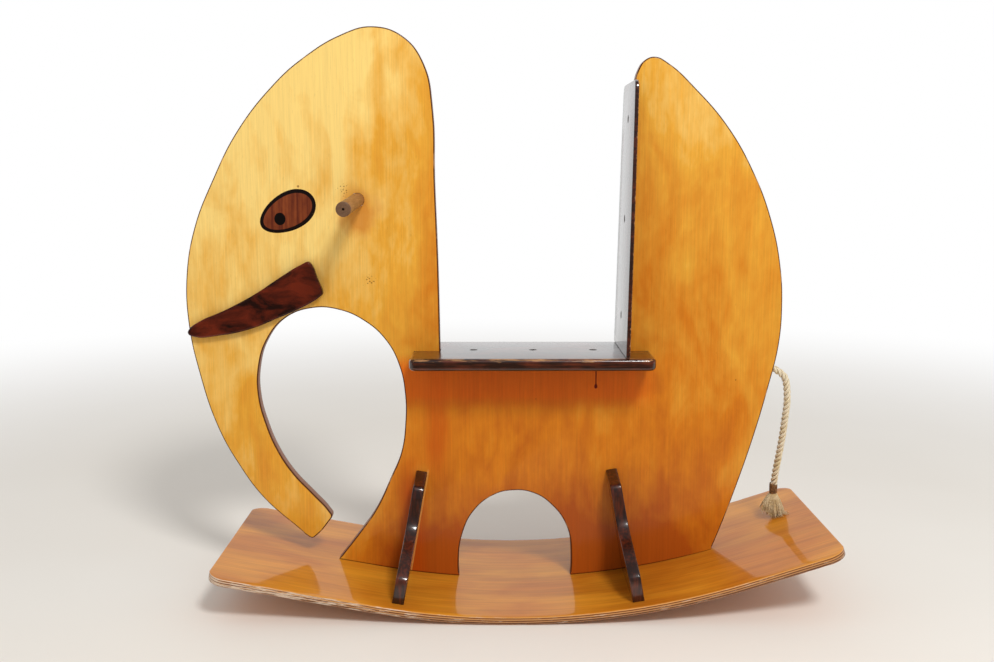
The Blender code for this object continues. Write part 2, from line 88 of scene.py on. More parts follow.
def add(tree, kind, inputs=(), **settings):
    """Adds a shader node, or takes one that is there. settings are its own properties. inputs
    gives its sockets, by name, or as a list in their order (for MapRange: value, from, to,
    least, most): each a number, a colour, an output, or a node that gives its first live one."""
    made = tree.nodes.new("ShaderNode" + kind) if isinstance(kind, str) else kind
    for name, value in settings.items():
        setattr(made, name, value)
    for key, value in inputs.items() if isinstance(inputs, dict) else enumerate(inputs):
        if isinstance(key, int):
            socket = made.inputs[key]
        else:
            socket = next(s for s in made.inputs if s.enabled and s.name == key)
        if isinstance(value, bpy.types.Node):
            value = next(s for s in value.outputs if s.enabled)
        if isinstance(value, bpy.types.NodeSocket):
            tree.links.new(value, socket)
        else:
            socket.default_value = value
    return made


def new_material(name, constants):
    """A material with its shader's constants set. Gives the material, its tree and shader,
    and the object coordinates that its patterns are drawn on."""
    material = bpy.data.materials.new(name)
    material.use_nodes = True
    tree = material.node_tree
    shader = add(tree, tree.nodes["Principled BSDF"], constants)
    return material, tree, shader, add(tree, "TexCoord").outputs["Object"]


def new_piece(name, points, faces, material, marks=None):
    """An object at the origin from an (n, 3) array of points and lists of faces. marks are
    point attributes, numbers or vectors. Doubles are merged and faces turned outwards."""
    mesh = bpy.data.meshes.new(name)
    mesh.from_pydata(points.tolist(), [], faces)
    for mark, values in (marks or {}).items():
        kind, field = ("FLOAT", "value") if values.ndim == 1 else ("FLOAT_VECTOR", "vector")
        mesh.attributes.new(mark, kind, "POINT").data.foreach_set(field, values.ravel())
    work = bmesh.new()
    work.from_mesh(mesh)
    bmesh.ops.remove_doubles(work, verts=work.verts, dist=1e-6)
    bmesh.ops.recalc_face_normals(work, faces=work.faces)
    work.to_mesh(mesh)
    work.free()
    mesh.shade_smooth()
    mesh.set_sharp_from_angle(angle=math.radians(30))
    mesh.materials.append(material)
    piece = bpy.data.objects.new(name, mesh)
    bpy.context.scene.collection.objects.link(piece)
    return piece


def grid_quads(rows, columns, closed=True):
    """Quads between the neighbours of a grid of points. A closed grid's columns go round."""
    across = np.arange(columns if closed else columns - 1)
    along = np.arange(rows - 1)[:, None] * columns
    here, right = along + across, along + (across + 1) % columns
    return np.stack([here, right, right + columns, here + columns], -1).reshape(-1, 4)


def unit(vectors):
    return vectors / np.linalg.norm(vectors, axis=-1, keepdims=True)


def smooth_line(points, steps):
    """The cubic through each two points whose slope at either is the run between the points
    before and after it (a Catmull-Rom curve)."""
    ends = np.concatenate([2 * points[:1] - points[1:2], points, 2 * points[-1:] - points[-2:-1]])
    before, start, finish, after = ends[:-3], ends[1:-2], ends[2:-1], ends[3:]
    t = (np.arange(steps) / steps)[:, None, None]
    bend = (2 * before - 5 * start + 4 * finish - after) * t**2
    twist = (3 * start - before - 3 * finish + after) * t**3
    line = (2 * start + (finish - before) * t + bend + twist) / 2
    return np.concatenate([line.transpose(1, 0, 2).reshape(-1, 3), points[-1:]])


def evenly(line, spacing):
    """The same line with its points a spacing apart along it, and their distances."""
    walked = np.concatenate([[0.0], np.cumsum(np.linalg.norm(np.diff(line, axis=0), axis=1))])
    stations = np.linspace(0.0, walked[-1], round(walked[-1] / spacing) + 1)
    return np.stack([np.interp(stations, walked, axis) for axis in line.T], -1), stations


def round_frame(line, towards):
    """Two unit vectors square to a line and to each other, the first as near as can be to the
    given direction."""
    ahead = unit(np.gradient(line, axis=-2))
    side = unit(towards - (towards * ahead).sum(-1, keepdims=True) * ahead)
    return side, np.cross(ahead, side)


def tubes(lines, side, up, radii, sides, walked):
    """A round tube on each of many lines, (tube, station, 3), about two directions square to
    it: points, faces and each point's turn (cosine, sine, distance walked)."""
    count, stations = lines.shape[:2]
    turn = np.arange(sides) * 2 * np.pi / sides
    ring = np.cos(turn)[:, None] * side[:, :, None] + np.sin(turn)[:, None] * up[:, :, None]
    wide = np.broadcast_to(radii, (count, stations))[..., None, None]
    points = (lines[:, :, None] + wide * ring).reshape(-1, 3)
    starts = np.arange(count) * stations * sides
    walls = (starts[:, None, None] + grid_quads(stations, sides)).reshape(-1, 4)
    caps = np.concatenate([starts, starts + (stations - 1) * sides])[:, None] + np.arange(sides)
    marks = np.empty((count, stations, sides, 3))
    marks[..., 0] = np.cos(turn)
    marks[..., 1] = np.sin(turn)
    marks[..., 2] = np.broadcast_to(walked, (count, stations))[..., None]
    return points, walls.tolist() + caps.tolist(), marks.reshape(-1, 3)


def sisal(name, pale, shade, dull, soiled):
    """Sisal, a hard pale straw fibre: laid yarns show as fine slanting lines, darker between
    the yarns, which is painted shade, with duller and browner fibres among them. It is dry
    and without shine. Its grooves are browner all along, and most where hands have soiled
    it, near its bound end."""
    paint, tree, shader, place = new_material(name, {"Roughness": 0.88, "Specular IOR Level": 0.2})
    turn = add(tree, "Attribute", attribute_name="turn").outputs["Vector"]
    split = add(tree, "SeparateXYZ", {"Vector": turn})
    angle = add(tree, "Math", [split.outputs[1], split.outputs[0]], operation="ARCTAN2")
    # Each yarn goes once round its strand in YARN_LAY, against the strand's own lay
    climb = add(tree, "Math", [split.outputs[2], 2 * math.pi / YARN_LAY], operation="MULTIPLY")
    phase = add(tree, "Math", [angle, climb], operation="ADD")
    phase = add(tree, "Math", [phase, float(YARNS)], operation="MULTIPLY")
    wave = add(tree, "Math", [phase], operation="COSINE")
    yarn = add(tree, "MapRange", [wave, -1.0, 0.2])
    drawn = add(tree, "Mapping", {"Vector": turn, "Scale": (8.0, 8.0, 170.0)})
    fibre = add(tree, "TexNoise", {"Vector": drawn, "Scale": 1.0, "Detail": 3.0})
    patch = add(tree, "TexNoise", {"Vector": place, "Scale": 90.0, "Detail": 2.0})
    duller = add(tree, "MapRange", [patch, 0.45, 0.7])
    body = add(tree, "Mix", {
        "Factor": duller, "A": linear(pale), "B": linear(dull)}, data_type="RGBA")
    # The darker colour between the yarns is painted shade
    laid = add(tree, "Mix", {"Factor": yarn, "A": linear(shade), "B": body}, data_type="RGBA")
    groove = add(tree, "MapRange", [split.outputs[0], 0.5, -0.1, 0.0, soiled])
    height = add(tree, "SeparateXYZ", {"Vector": place}).outputs[2]
    low = add(tree, "MapRange", [height, SOIL_FROM, SOIL_TO, 0.45, 1.0])
    soil = add(tree, "Math", [groove, low], operation="MULTIPLY")
    dirty = add(tree, "Mix", {"Factor": soil, "A": laid, "B": linear("#70522A")}, data_type="RGBA")
    speckle = add(tree, "MapRange", [fibre, 0.35, 0.75, 0.78, 1.12])
    tone = add(
        tree, "Mix", {"Factor": 1.0, "A": dirty, "B": speckle}, data_type="RGBA",
        blend_type="MULTIPLY")
    raised = add(tree, "Math", [yarn, fibre], operation="ADD")
    bump = add(tree, "Bump", {"Strength": 0.5, "Distance": 0.0004, "Height": raised})
    add(tree, shader, {"Base Color": tone, "Normal": bump})
    return paint


rope_line = smooth_line(np.stack([
    TAIL_MOUTH + reach * np.array((math.cos(TAIL_DIP), 0.0, -math.sin(TAIL_DIP)))
    for reach in (-TAIL_DEPTH, -TAIL_DEPTH / 2, TAIL_STRAIGHT)
] + list(TAIL_ROUTE)), 20)
rope_line, rope_walked = evenly(rope_line, 0.0012)
rope_side, rope_up = round_frame(rope_line, np.array((0.0, 1.0, 0.0)))

# Each strand is a tube whose own frame turns with the lay, so that its yarns keep their slant
lay = 2 * np.pi * (rope_walked / ROPE_LAY + np.arange(3)[:, None] / 3)[..., None]
strand_radius = STRAND_SHARE * ROPE_DIAMETER / 2
outward = np.cos(lay) * rope_side + np.sin(lay) * rope_up
strands = rope_line + (ROPE_DIAMETER / 2 - strand_radius) * outward
ahead = unit(np.gradient(strands, axis=1))
face = unit(outward - (outward * ahead).sum(-1, keepdims=True) * ahead)
strand_points, strand_faces, strand_marks = tubes(
    strands, face, np.cross(ahead, face), strand_radius, STRAND_SIDES, rope_walked)

# Stray fibres stand off the rope, a few millimetres each
chance = np.random.default_rng(11)
root = chance.integers(18, len(rope_line) - 22, STRAYS)
spin = chance.uniform(0, 2 * np.pi, STRAYS)[:, None]
away = np.cos(spin) * rope_side[root] + np.sin(spin) * rope_up[root]
lean = unit(np.gradient(rope_line, axis=0))[root] * chance.uniform(-1.0, 1.6, (STRAYS, 1))
out = np.linspace(0.0, 1.0, 5)[None, :, None]
long = chance.uniform(0.0015, 0.0040, (STRAYS, 1, 1))
stray = rope_line[root][:, None] + ROPE_DIAMETER * 0.42 * away[:, None] + long * (
    out**1.4 * away[:, None] * 0.8 + out * lean[:, None])
hair_points, hair_faces, hair_marks = tubes(
    stray, *round_frame(stray, np.array((0.31, 0.9, 0.3))), 0.00009 * (1.2 - out[..., 0]), 4, 0.0)

rope = new_piece(
    "sisal_rope_tail",
    np.concatenate([strand_points, hair_points]),
    strand_faces + [[corner + len(strand_points) for corner in quad] for quad in hair_faces],
    sisal("sisal rope, laid", "#FFF4DA", "#C4A878", "#EEDAAC", 0.85),
    {"turn": np.concatenate([strand_marks, hair_marks])},
)
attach(rope, "root")
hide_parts("tail_rope")


# Bent base
# One sheet of plywood 10 mm thick, steam-bent to an arc that runs out straight at both ends.
# Its face veneer runs lengthways under an amber varnish, and its corners are sawn round.
BASE_WIDTH, BASE_THICK = 0.274, 0.010
BASE_FRONT_X, BASE_REAR_X, BASE_LOW_X = -0.3755, 0.4174, 0.003
BEND_RADIUS, BEND_AHEAD, BEND_BEHIND = 0.965, 0.176, 0.298
BASE_CORNER = 0.024
BASE_ARRIS = 0.0014
BASE_PLIES = 7
ARRIS_STEPS = 6  # points of a quarter round
BASE_HOLE_DEPTH = 0.012
SCREW_HEAD_RADIUS, SCREW_SHANK_RADIUS = 0.00475, 0.00225
SCREW_SUNK, SCREW_EDGE, SCREW_GAP = 0.0002, 0.0003, 0.0003
BASE_SCREW_LENGTH = 0.036
FOOT_SCREWS = ((-0.190, 15.0), (-0.100, 80.0), (0.122, -40.0), (0.222, 50.0))  # x, slot's turn
BRACE_THICK, BRACE_SCREW_Y = 0.015, 0.088
BRACE_LEAN = math.radians(10.0)
BRACES = {"front": (-0.140, BRACE_LEAN), "rear": (0.1625, -BRACE_LEAN)}


def base_slope(x):
    """Sine of the base's slope: the share of the radius that lies between x and the low
    point, held at the ends of the bend."""
    return np.clip(x - BASE_LOW_X, -BEND_AHEAD, BEND_BEHIND) / BEND_RADIUS


def base_top(x):
    """Height of the base's top face: an arc about the low point, then its tangent."""
    sine = base_slope(x)
    cosine = np.sqrt(1 - sine**2)
    past = (x - BASE_LOW_X) - sine * BEND_RADIUS
    return BASE_THICK + BEND_RADIUS * (1 - cosine) + past * sine / cosine


def waver(along, seed, waves=9, shortest=0.012, longest=0.16):
    """A wandering value between about -1 and 1: a sum of sines of random phase."""
    lengths = np.geomspace(shortest, longest, waves)
    phases = np.random.default_rng(seed).uniform(0, 2 * np.pi, waves)
    return np.sin(2 * np.pi * along[..., None] / lengths + phases).sum(-1) / waves**0.5


def spun(profile, origin, axis, sides):
    """A profile of (radius, distance) points spun about an axis: points and faces. It starts
    and ends on the axis, where its first and last rings close to a point."""
    axis = np.array(axis, dtype=float)
    side = unit(np.cross(axis, (1.0, 0.0, 0.0)))
    up = np.cross(axis, side)
    turn = np.arange(sides) * 2 * np.pi / sides
    ring = np.cos(turn)[:, None] * side + np.sin(turn)[:, None] * up
    radius, distance = np.array(profile).T
    points = np.array(origin) + distance[:, None, None] * axis + radius[:, None, None] * ring
    return points.reshape(-1, 3), grid_quads(len(profile), sides).tolist()


def drill(piece, points, faces):
    """Takes a closed shape out of a piece."""
    bit = new_piece("bit", points, faces, piece.data.materials[0])
    cut = piece.modifiers.new("drill", "BOOLEAN")
    cut.object, cut.operation, cut.solver = bit, "DIFFERENCE", "EXACT"
    view = bpy.context.evaluated_depsgraph_get()
    mesh = bpy.data.meshes.new_from_object(piece.evaluated_get(view))
    piece.modifiers.clear()
    piece.data = mesh
    bpy.data.objects.remove(bit)
    mesh.set_sharp_from_angle(angle=math.radians(30))


def screw_hole(piece, place, out, depth):
    """Drills a countersunk hole: the screw's own profile, wider by a gap all round."""
    wide, narrow = SCREW_HEAD_RADIUS + SCREW_GAP, SCREW_SHANK_RADIUS + SCREW_GAP
    edge = SCREW_SUNK + SCREW_EDGE + SCREW_GAP
    profile = [(0.0, 0.001), (wide, 0.001), (wide, -edge), (narrow, narrow - wide - edge),
               (narrow, -depth), (0.0, -depth)]
    drill(piece, *spun(profile, place, out, 32))


ease = BASE_CORNER * (1 - np.cos(np.linspace(0, np.pi / 2, 12)))
straight = np.linspace(BASE_FRONT_X + BASE_CORNER, BASE_REAR_X - BASE_CORNER, 110)[1:-1]
stations = np.concatenate([BASE_FRONT_X + ease, straight, BASE_REAR_X - ease[::-1]])[:, None]
inside = np.minimum(stations - BASE_FRONT_X, BASE_REAR_X - stations)
tuck = np.clip(BASE_CORNER - inside, 0.0, BASE_CORNER)
half_width = BASE_WIDTH / 2 - BASE_CORNER + np.sqrt(BASE_CORNER**2 - tuck**2)

# The cross-section is a ring: along the top, round one side, back underneath, up the other.
# Its arrises are worn more in some places than in others
bow = np.linspace(0, np.pi / 2, ARRIS_STEPS)
arris_in = np.concatenate([1 - np.sin(bow), 1 - np.sin(bow[::-1])])
arris_down = BASE_ARRIS * (1 - np.cos(bow))
arris_down = np.concatenate([arris_down, BASE_THICK - arris_down[::-1]])
rows = np.linspace(-1, 1, 41)[1:-1]
side_share = np.ones(2 * ARRIS_STEPS)
ring_share = np.concatenate([rows, side_share, rows[::-1], -side_share])
ring_in = np.concatenate([0 * rows, arris_in, 0 * rows, arris_in[::-1]])
ring_out = np.concatenate([0 * rows, 1 - arris_in, 0 * rows, arris_in[::-1] - 1])
ring_down = np.concatenate([0 * rows, arris_down, 0 * rows + BASE_THICK, arris_down[::-1]])
worn_in = 0.9 * np.clip(waver(stations + 0.4 * np.sign(ring_share), 3), 0, 1) * ring_in
across = ring_share * (half_width - BASE_ARRIS) + BASE_ARRIS * (
    ring_out - np.sign(ring_share) * worn_in)
end_worn = BASE_ARRIS - np.sqrt(BASE_ARRIS**2 - np.clip(BASE_ARRIS - inside, 0, BASE_ARRIS)**2)
down = np.clip(ring_down, end_worn, BASE_THICK - end_worn)
sine = base_slope(stations)
base_points = np.stack([
    stations + down * sine, across, base_top(stations) - down * np.sqrt(1 - sine**2)], -1)
ring = len(ring_share)

# Each end is closed by rungs between the top half of its ring and the bottom half
rung = np.arange(-ARRIS_STEPS, len(rows) + ARRIS_STEPS)
mirror = 2 * (len(rows) + ARRIS_STEPS) - 1 - rung
ladder = np.stack([rung[:-1], rung[1:], mirror[1:], mirror[:-1]], -1) % ring


def rocker_varnish():
    """Birch plywood, bent and varnished amber: a lengthways veneer with soft darker bands
    under a gloss that mirrors the legs, and edges where pale and dark plies show, darker
    towards the bottom, chipped to bare wood."""
    paint, tree, shader, place = new_material("birch plywood, bent, amber gloss varnish", {
        "Roughness": 0.4, "Specular IOR Level": 0.05,
        "Coat Weight": 0.6, "Coat Roughness": 0.06, "Coat IOR": 1.45})
    x, y, z = add(tree, "SeparateXYZ", {"Vector": place}).outputs
    # Veneer: bands 18 mm wide and 250 mm long, lines 2 mm wide, clouds of 60 by 130 mm
    band = add(tree, "TexNoise", {
        "Vector": add(tree, "Mapping", {"Vector": place, "Scale": (4.0, 56.0, 10.0)}),
        "Scale": 1.0, "Detail": 4.0, "Roughness": 0.55, "Distortion": 0.4})
    line = add(tree, "TexNoise", {
        "Vector": add(tree, "Mapping", {"Vector": place, "Scale": (9.0, 420.0, 30.0)}),
        "Scale": 1.0, "Detail": 2.0})
    cloud = add(tree, "TexNoise", {
        "Vector": add(tree, "Mapping", {"Vector": place, "Scale": (8.0, 18.0, 8.0)}), "Scale": 1.0,
        "Detail": 3.0, "Distortion": 0.5})
    light = add(tree, "Mix", {
        "Factor": add(tree, "MapRange", [cloud, 0.35, 0.65]), "A": linear("#DA9026"),
        "B": linear("#C47418")}, data_type="RGBA")
    grain = add(tree, "Mix", {
        "Factor": add(tree, "MapRange", [band, 0.42, 0.68, 0.0, 0.42]), "A": light,
        "B": linear("#9E5412")}, data_type="RGBA")
    fine = add(tree, "MapRange", [line, 0.3, 0.7, 0.90, 1.08])
    veneer = add(
        tree, "Mix", {"Factor": 1.0, "A": grain, "B": fine}, data_type="RGBA",
        blend_type="MULTIPLY")
    # Edge: plies pale and dark by turns, darker towards the bottom
    layer = add(tree, "Attribute", attribute_name="layer").outputs["Fac"]
    spread = add(tree, "CombineXYZ", [x, layer, y])
    wobble = add(tree, "TexNoise", {
        "Vector": add(tree, "Mapping", {"Vector": spread, "Scale": (30.0, 3.0, 8.0)}),
        "Scale": 1.0, "Detail": 3.0})
    shifted = add(tree, "MapRange", [wobble, 0.3, 0.7, -0.35, 0.35])
    ply = add(tree, "Math", [layer, BASE_PLIES * math.pi, shifted], operation="MULTIPLY_ADD")
    turn = add(tree, "Math", [ply], operation="SINE")
    pale = add(tree, "Mix", {
        "Factor": layer, "A": linear("#D69A56"), "B": linear("#A07250")}, data_type="RGBA")
    dark = add(tree, "Mix", {
        "Factor": layer, "A": linear("#7E4018"), "B": linear("#3E1B0C")}, data_type="RGBA")
    plies = add(tree, "Mix", {
        "Factor": add(tree, "MapRange", [turn, -0.5, 0.3]), "A": dark, "B": pale},
        data_type="RGBA")
    # Chips 20 by 1 mm, most of them at the front end, where the toy bumps into things
    rough = add(tree, "TexNoise", {
        "Vector": add(tree, "Mapping", {"Vector": spread, "Scale": (38.0, 7.0, 14.0)}),
        "Scale": 1.0, "Detail": 5.0, "Roughness": 0.7})
    bumped = add(tree, "MapRange", [x, -0.05, -0.26, 0.60, 0.47])
    over = add(tree, "Math", [rough, bumped], operation="SUBTRACT")
    edge = add(tree, "Mix", {
        "Factor": add(tree, "MapRange", [over, 0.0, 0.05, 0.0, 0.85]), "A": plies,
        "B": linear("#DCC7B0")}, data_type="RGBA")
    lower = add(tree, "MapRange", [layer, 0.02, 0.05])
    upper = add(tree, "MapRange", [layer, 0.98, 0.95])
    on_edge = add(tree, "Math", [lower, upper], operation="MINIMUM")
    whole = add(tree, "Mix", {"Factor": on_edge, "A": veneer, "B": edge}, data_type="RGBA")
    bump = add(tree, "Bump", {"Strength": 0.10, "Distance": 0.0004, "Height": band})
    add(tree, shader, {"Base Color": whole, "Normal": bump})
    return paint


base = new_piece(
    "bent_plywood_base",
    base_points.reshape(-1, 3),
    grid_quads(len(stations), ring).tolist() + ladder.tolist()
    + (ladder + (len(stations) - 1) * ring).tolist(),
    rocker_varnish(),
)
screws = []  # name, length, place of its head, the way it faces, its slot's turn in degrees
for number, (x, slot_turn) in enumerate(FOOT_SCREWS, 1):
    sine = float(base_slope(x))
    out = (sine, 0, -math.sqrt(1 - sine**2))
    place = (x + BASE_THICK * out[0], 0, float(base_top(x)) + BASE_THICK * out[2])
    screws.append((f"foot_screw_{number}", BASE_SCREW_LENGTH, place, out, slot_turn))
for end, (x, tilt) in BRACES.items():
    out = (-math.sin(tilt), 0, -math.cos(tilt))
    for side, sign in (("near", -1), ("far", 1)):
        place = (x + BASE_THICK * out[0], sign * BRACE_SCREW_Y,
                 float(base_top(x)) + BASE_THICK * out[2])
        slot_turn = 30.0 * sign + 400 * x
        screws.append((f"{end}_brace_{side}_screw", BASE_SCREW_LENGTH, place, out, slot_turn))
for node, length, place, out, slot_turn in screws:
    screw_hole(base, place, out, BASE_HOLE_DEPTH)

# The mark layer runs from 0 on the top face to 1 underneath
raw = np.empty(3 * len(base.data.vertices))
base.data.vertices.foreach_get("co", raw)
x, y, z = raw.reshape(-1, 3).T
layer = (base_top(x) - z) * np.sqrt(1 - base_slope(x)**2) / BASE_THICK
base.data.attributes.new("layer", "FLOAT", "POINT").data.foreach_set("value", layer)
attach(base, "root")
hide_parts("rocker_base")


# Body board
# One sheet of 16 mm birch plywood sawn to the elephant's outline, its grain upright. It is
# varnished honey yellow and redder low down, partly from ageing and partly as painted shade,
# and both faces carry a painted eye.
BOARD_THICK = 0.016
BOARD_ARRIS = 0.0017
BOARD_PLIES = 11
HANDLE_X, HANDLE_HEIGHT, HANDLE_DIAMETER = -0.195, 0.5207, 0.018
HANDLE_GAP, HOLE_REACH = 0.0003, 0.02
HANDLE_DROOP = math.radians(2.9)
HANDLE_AXIS = (0.0, math.cos(HANDLE_DROOP), math.sin(HANDLE_DROOP))
EYE_X, EYE_HEIGHT, EYE_TILT = -0.2850, 0.5048, math.radians(28.0)
EYE_HALVES = ((0.0390, 0.0243), (0.0342, 0.0196))  # outside and inside of its black line
PUPIL_X, PUPIL_HEIGHT, PUPIL_HALVES = -0.2950, 0.4962, (0.0072, 0.0080)


def cut_loops(node, origin, across, up):
    """The closed loops where a plane cuts a CAD node, longest first, as (across, up) points.
    Each triangle that the plane crosses is one step from a falling edge to a rising one."""
    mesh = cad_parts[node].data
    raw = np.empty(3 * len(mesh.vertices))
    mesh.vertices.foreach_get("co", raw)
    points, merged = np.unique(np.round(raw.reshape(-1, 3), 7), axis=0, return_inverse=True)
    order = np.empty(3 * len(mesh.polygons), dtype=int)
    mesh.polygons.foreach_get("vertices", order)
    corners = merged.ravel()[order].reshape(-1, 3)
    origin, across, up = (np.array(v, dtype=float) for v in (origin, across, up))
    height = (points - origin) @ np.cross(across, up) + 1e-9
    edges = np.stack([corners, np.roll(corners, -1, axis=1)], -1)
    over = height[edges] > 0
    falls, rises = over[..., 0] & ~over[..., 1], ~over[..., 0] & over[..., 1]
    first, last = np.sort(edges[falls], -1), np.sort(edges[rises], -1)
    steps = dict(zip(map(tuple, first.tolist()), map(tuple, last.tolist())))
    loops = []
    while steps:
        loop = [next(iter(steps))]
        while loop[-1] in steps:
            loop.append(steps.pop(loop[-1]))
        pair = np.array(loop[:-1])
        share = (height[pair[:, 0]] / (height[pair[:, 0]] - height[pair[:, 1]]))[:, None]
        at = points[pair[:, 0]] * (1 - share) + points[pair[:, 1]] * share - origin
        loops.append(np.stack([at @ across, at @ up], -1))
    return sorted(loops, key=lambda loop: -np.ptp(loop, axis=0).sum())


def turning(loop):
    """The angle by which a closed loop turns at each of its points, in degrees."""
    arrive, leave = loop - np.roll(loop, 1, axis=0), np.roll(loop, -1, axis=0) - loop
    crossed = arrive[:, 0] * leave[:, 1] - arrive[:, 1] * leave[:, 0]
    return np.degrees(np.arctan2(crossed, (arrive * leave).sum(-1)))


def faired(loop, spacing, corner=28.0):
    """A loop with its straight-line points dropped, and its chords bent to cubics whose slope
    at a point is the run between its neighbours, or the chord's own at a sharp corner."""
    while True:
        near = np.linalg.norm(loop - np.roll(loop, 1, axis=0), axis=1) < 1e-5
        idle = near | (np.abs(turning(loop)) < 0.15)
        idle &= ~np.roll(idle, 1)
        if not idle.any():
            break
        loop = loop[~idle]
    if np.sum(loop[:, 0] * np.roll(loop[:, 1], -1) - loop[:, 1] * np.roll(loop[:, 0], -1)) < 0:
        loop = loop[::-1]
    chord = np.roll(loop, -1, axis=0) - loop
    length = np.linalg.norm(chord, axis=1, keepdims=True)
    run = unit(chord + np.roll(chord, 1, axis=0))
    sharp = (np.abs(turning(loop)) > corner)[:, None]
    leave = np.where(sharp, chord / length, run) * length
    arrive = np.where(np.roll(sharp, -1, axis=0), chord / length, np.roll(run, -1, axis=0)) * length
    pieces = np.ceil(length[:, 0] / spacing).astype(int)
    which = np.repeat(np.arange(len(loop)), pieces)
    begun = np.repeat(np.cumsum(pieces) - pieces, pieces)
    t = ((np.arange(len(which)) - begun) / pieces[which])[:, None]
    start, finish = loop[which], np.roll(loop, -1, axis=0)[which]
    return (start * (1 + 2 * t) * (1 - t)**2 + leave[which] * t * (1 - t)**2
            + finish * (3 - 2 * t) * t**2 - arrive[which] * (1 - t) * t**2)


def inset(loop, weight):
    """How each point of a loop moves when its edges move inwards by their weights: to where
    the two moved edges meet, or square to the edge where the two are nearly in line."""
    run = unit(np.roll(loop, -1, axis=0) - loop)
    inward = np.stack([-run[:, 1], run[:, 0]], -1)
    before, own = np.roll(inward, 1, axis=0), np.roll(weight, 1)
    det = before[:, 0] * inward[:, 1] - before[:, 1] * inward[:, 0]
    safe = np.where(np.abs(det) < 0.02, 1.0, det)
    meet = np.stack([own * inward[:, 1] - weight * before[:, 1],
                     weight * before[:, 0] - own * inward[:, 0]], -1) / safe[:, None]
    plain = unit(before + inward) * ((own + weight) / 2)[:, None]
    return np.where((np.abs(det) < 0.02)[:, None], plain, meet)


def sawn(name, loop, place, thickness, arris, material, weight=1.0,
         bends=ARRIS_STEPS):
    """A board sawn from sheet. loop is its outline in its own plane, and place its middle and
    its two directions. A profile with quarter-round arrises carries the loop through the
    thickness, square where its weight is 0, and the two faces are filled in flat. The mark
    rim runs from 0 on a face to 1 on the sawn edge, and depth from 0 to 1 between the faces."""
    origin, across, up = (np.array(v, dtype=float) for v in place)
    square = np.cross(across, up)
    bow = np.linspace(0, np.pi / 2, bends)
    share = np.concatenate([1 - np.sin(bow), 1 - np.sin(bow[::-1])])
    depth = arris * (1 - np.cos(bow))
    depth = np.concatenate([depth, thickness - depth[::-1]])
    move = inset(loop, np.broadcast_to(weight, len(loop)).astype(float))
    flat = loop + arris * share[:, None, None] * move
    points = origin + flat[..., :1] * across + flat[..., 1:] * up
    points = (points + (thickness / 2 - depth)[:, None, None] * square).reshape(-1, 3)
    cap = np.arange(len(loop))
    piece = new_piece(
        name, points,
        grid_quads(len(depth), len(loop)).tolist()
        + [cap.tolist(), (cap + len(points) - len(loop)).tolist()],
        material,
        {"rim": np.repeat(1 - share, len(loop)), "depth": np.repeat(depth / thickness, len(loop))},
    )
    facing = np.empty(3 * len(piece.data.polygons))
    piece.data.polygons.foreach_get("normal", facing)
    smooth = np.abs(facing.reshape(-1, 3) @ square) < 0.9999
    piece.data.polygons.foreach_set("use_smooth", smooth)
    return piece


def apart_from(tree, value, middle):
    """How far a value lies from a middle one: their difference without its sign."""
    return add(tree, "Math", [add(tree, "Math", [value, -middle], operation="ADD")],
               operation="ABSOLUTE")


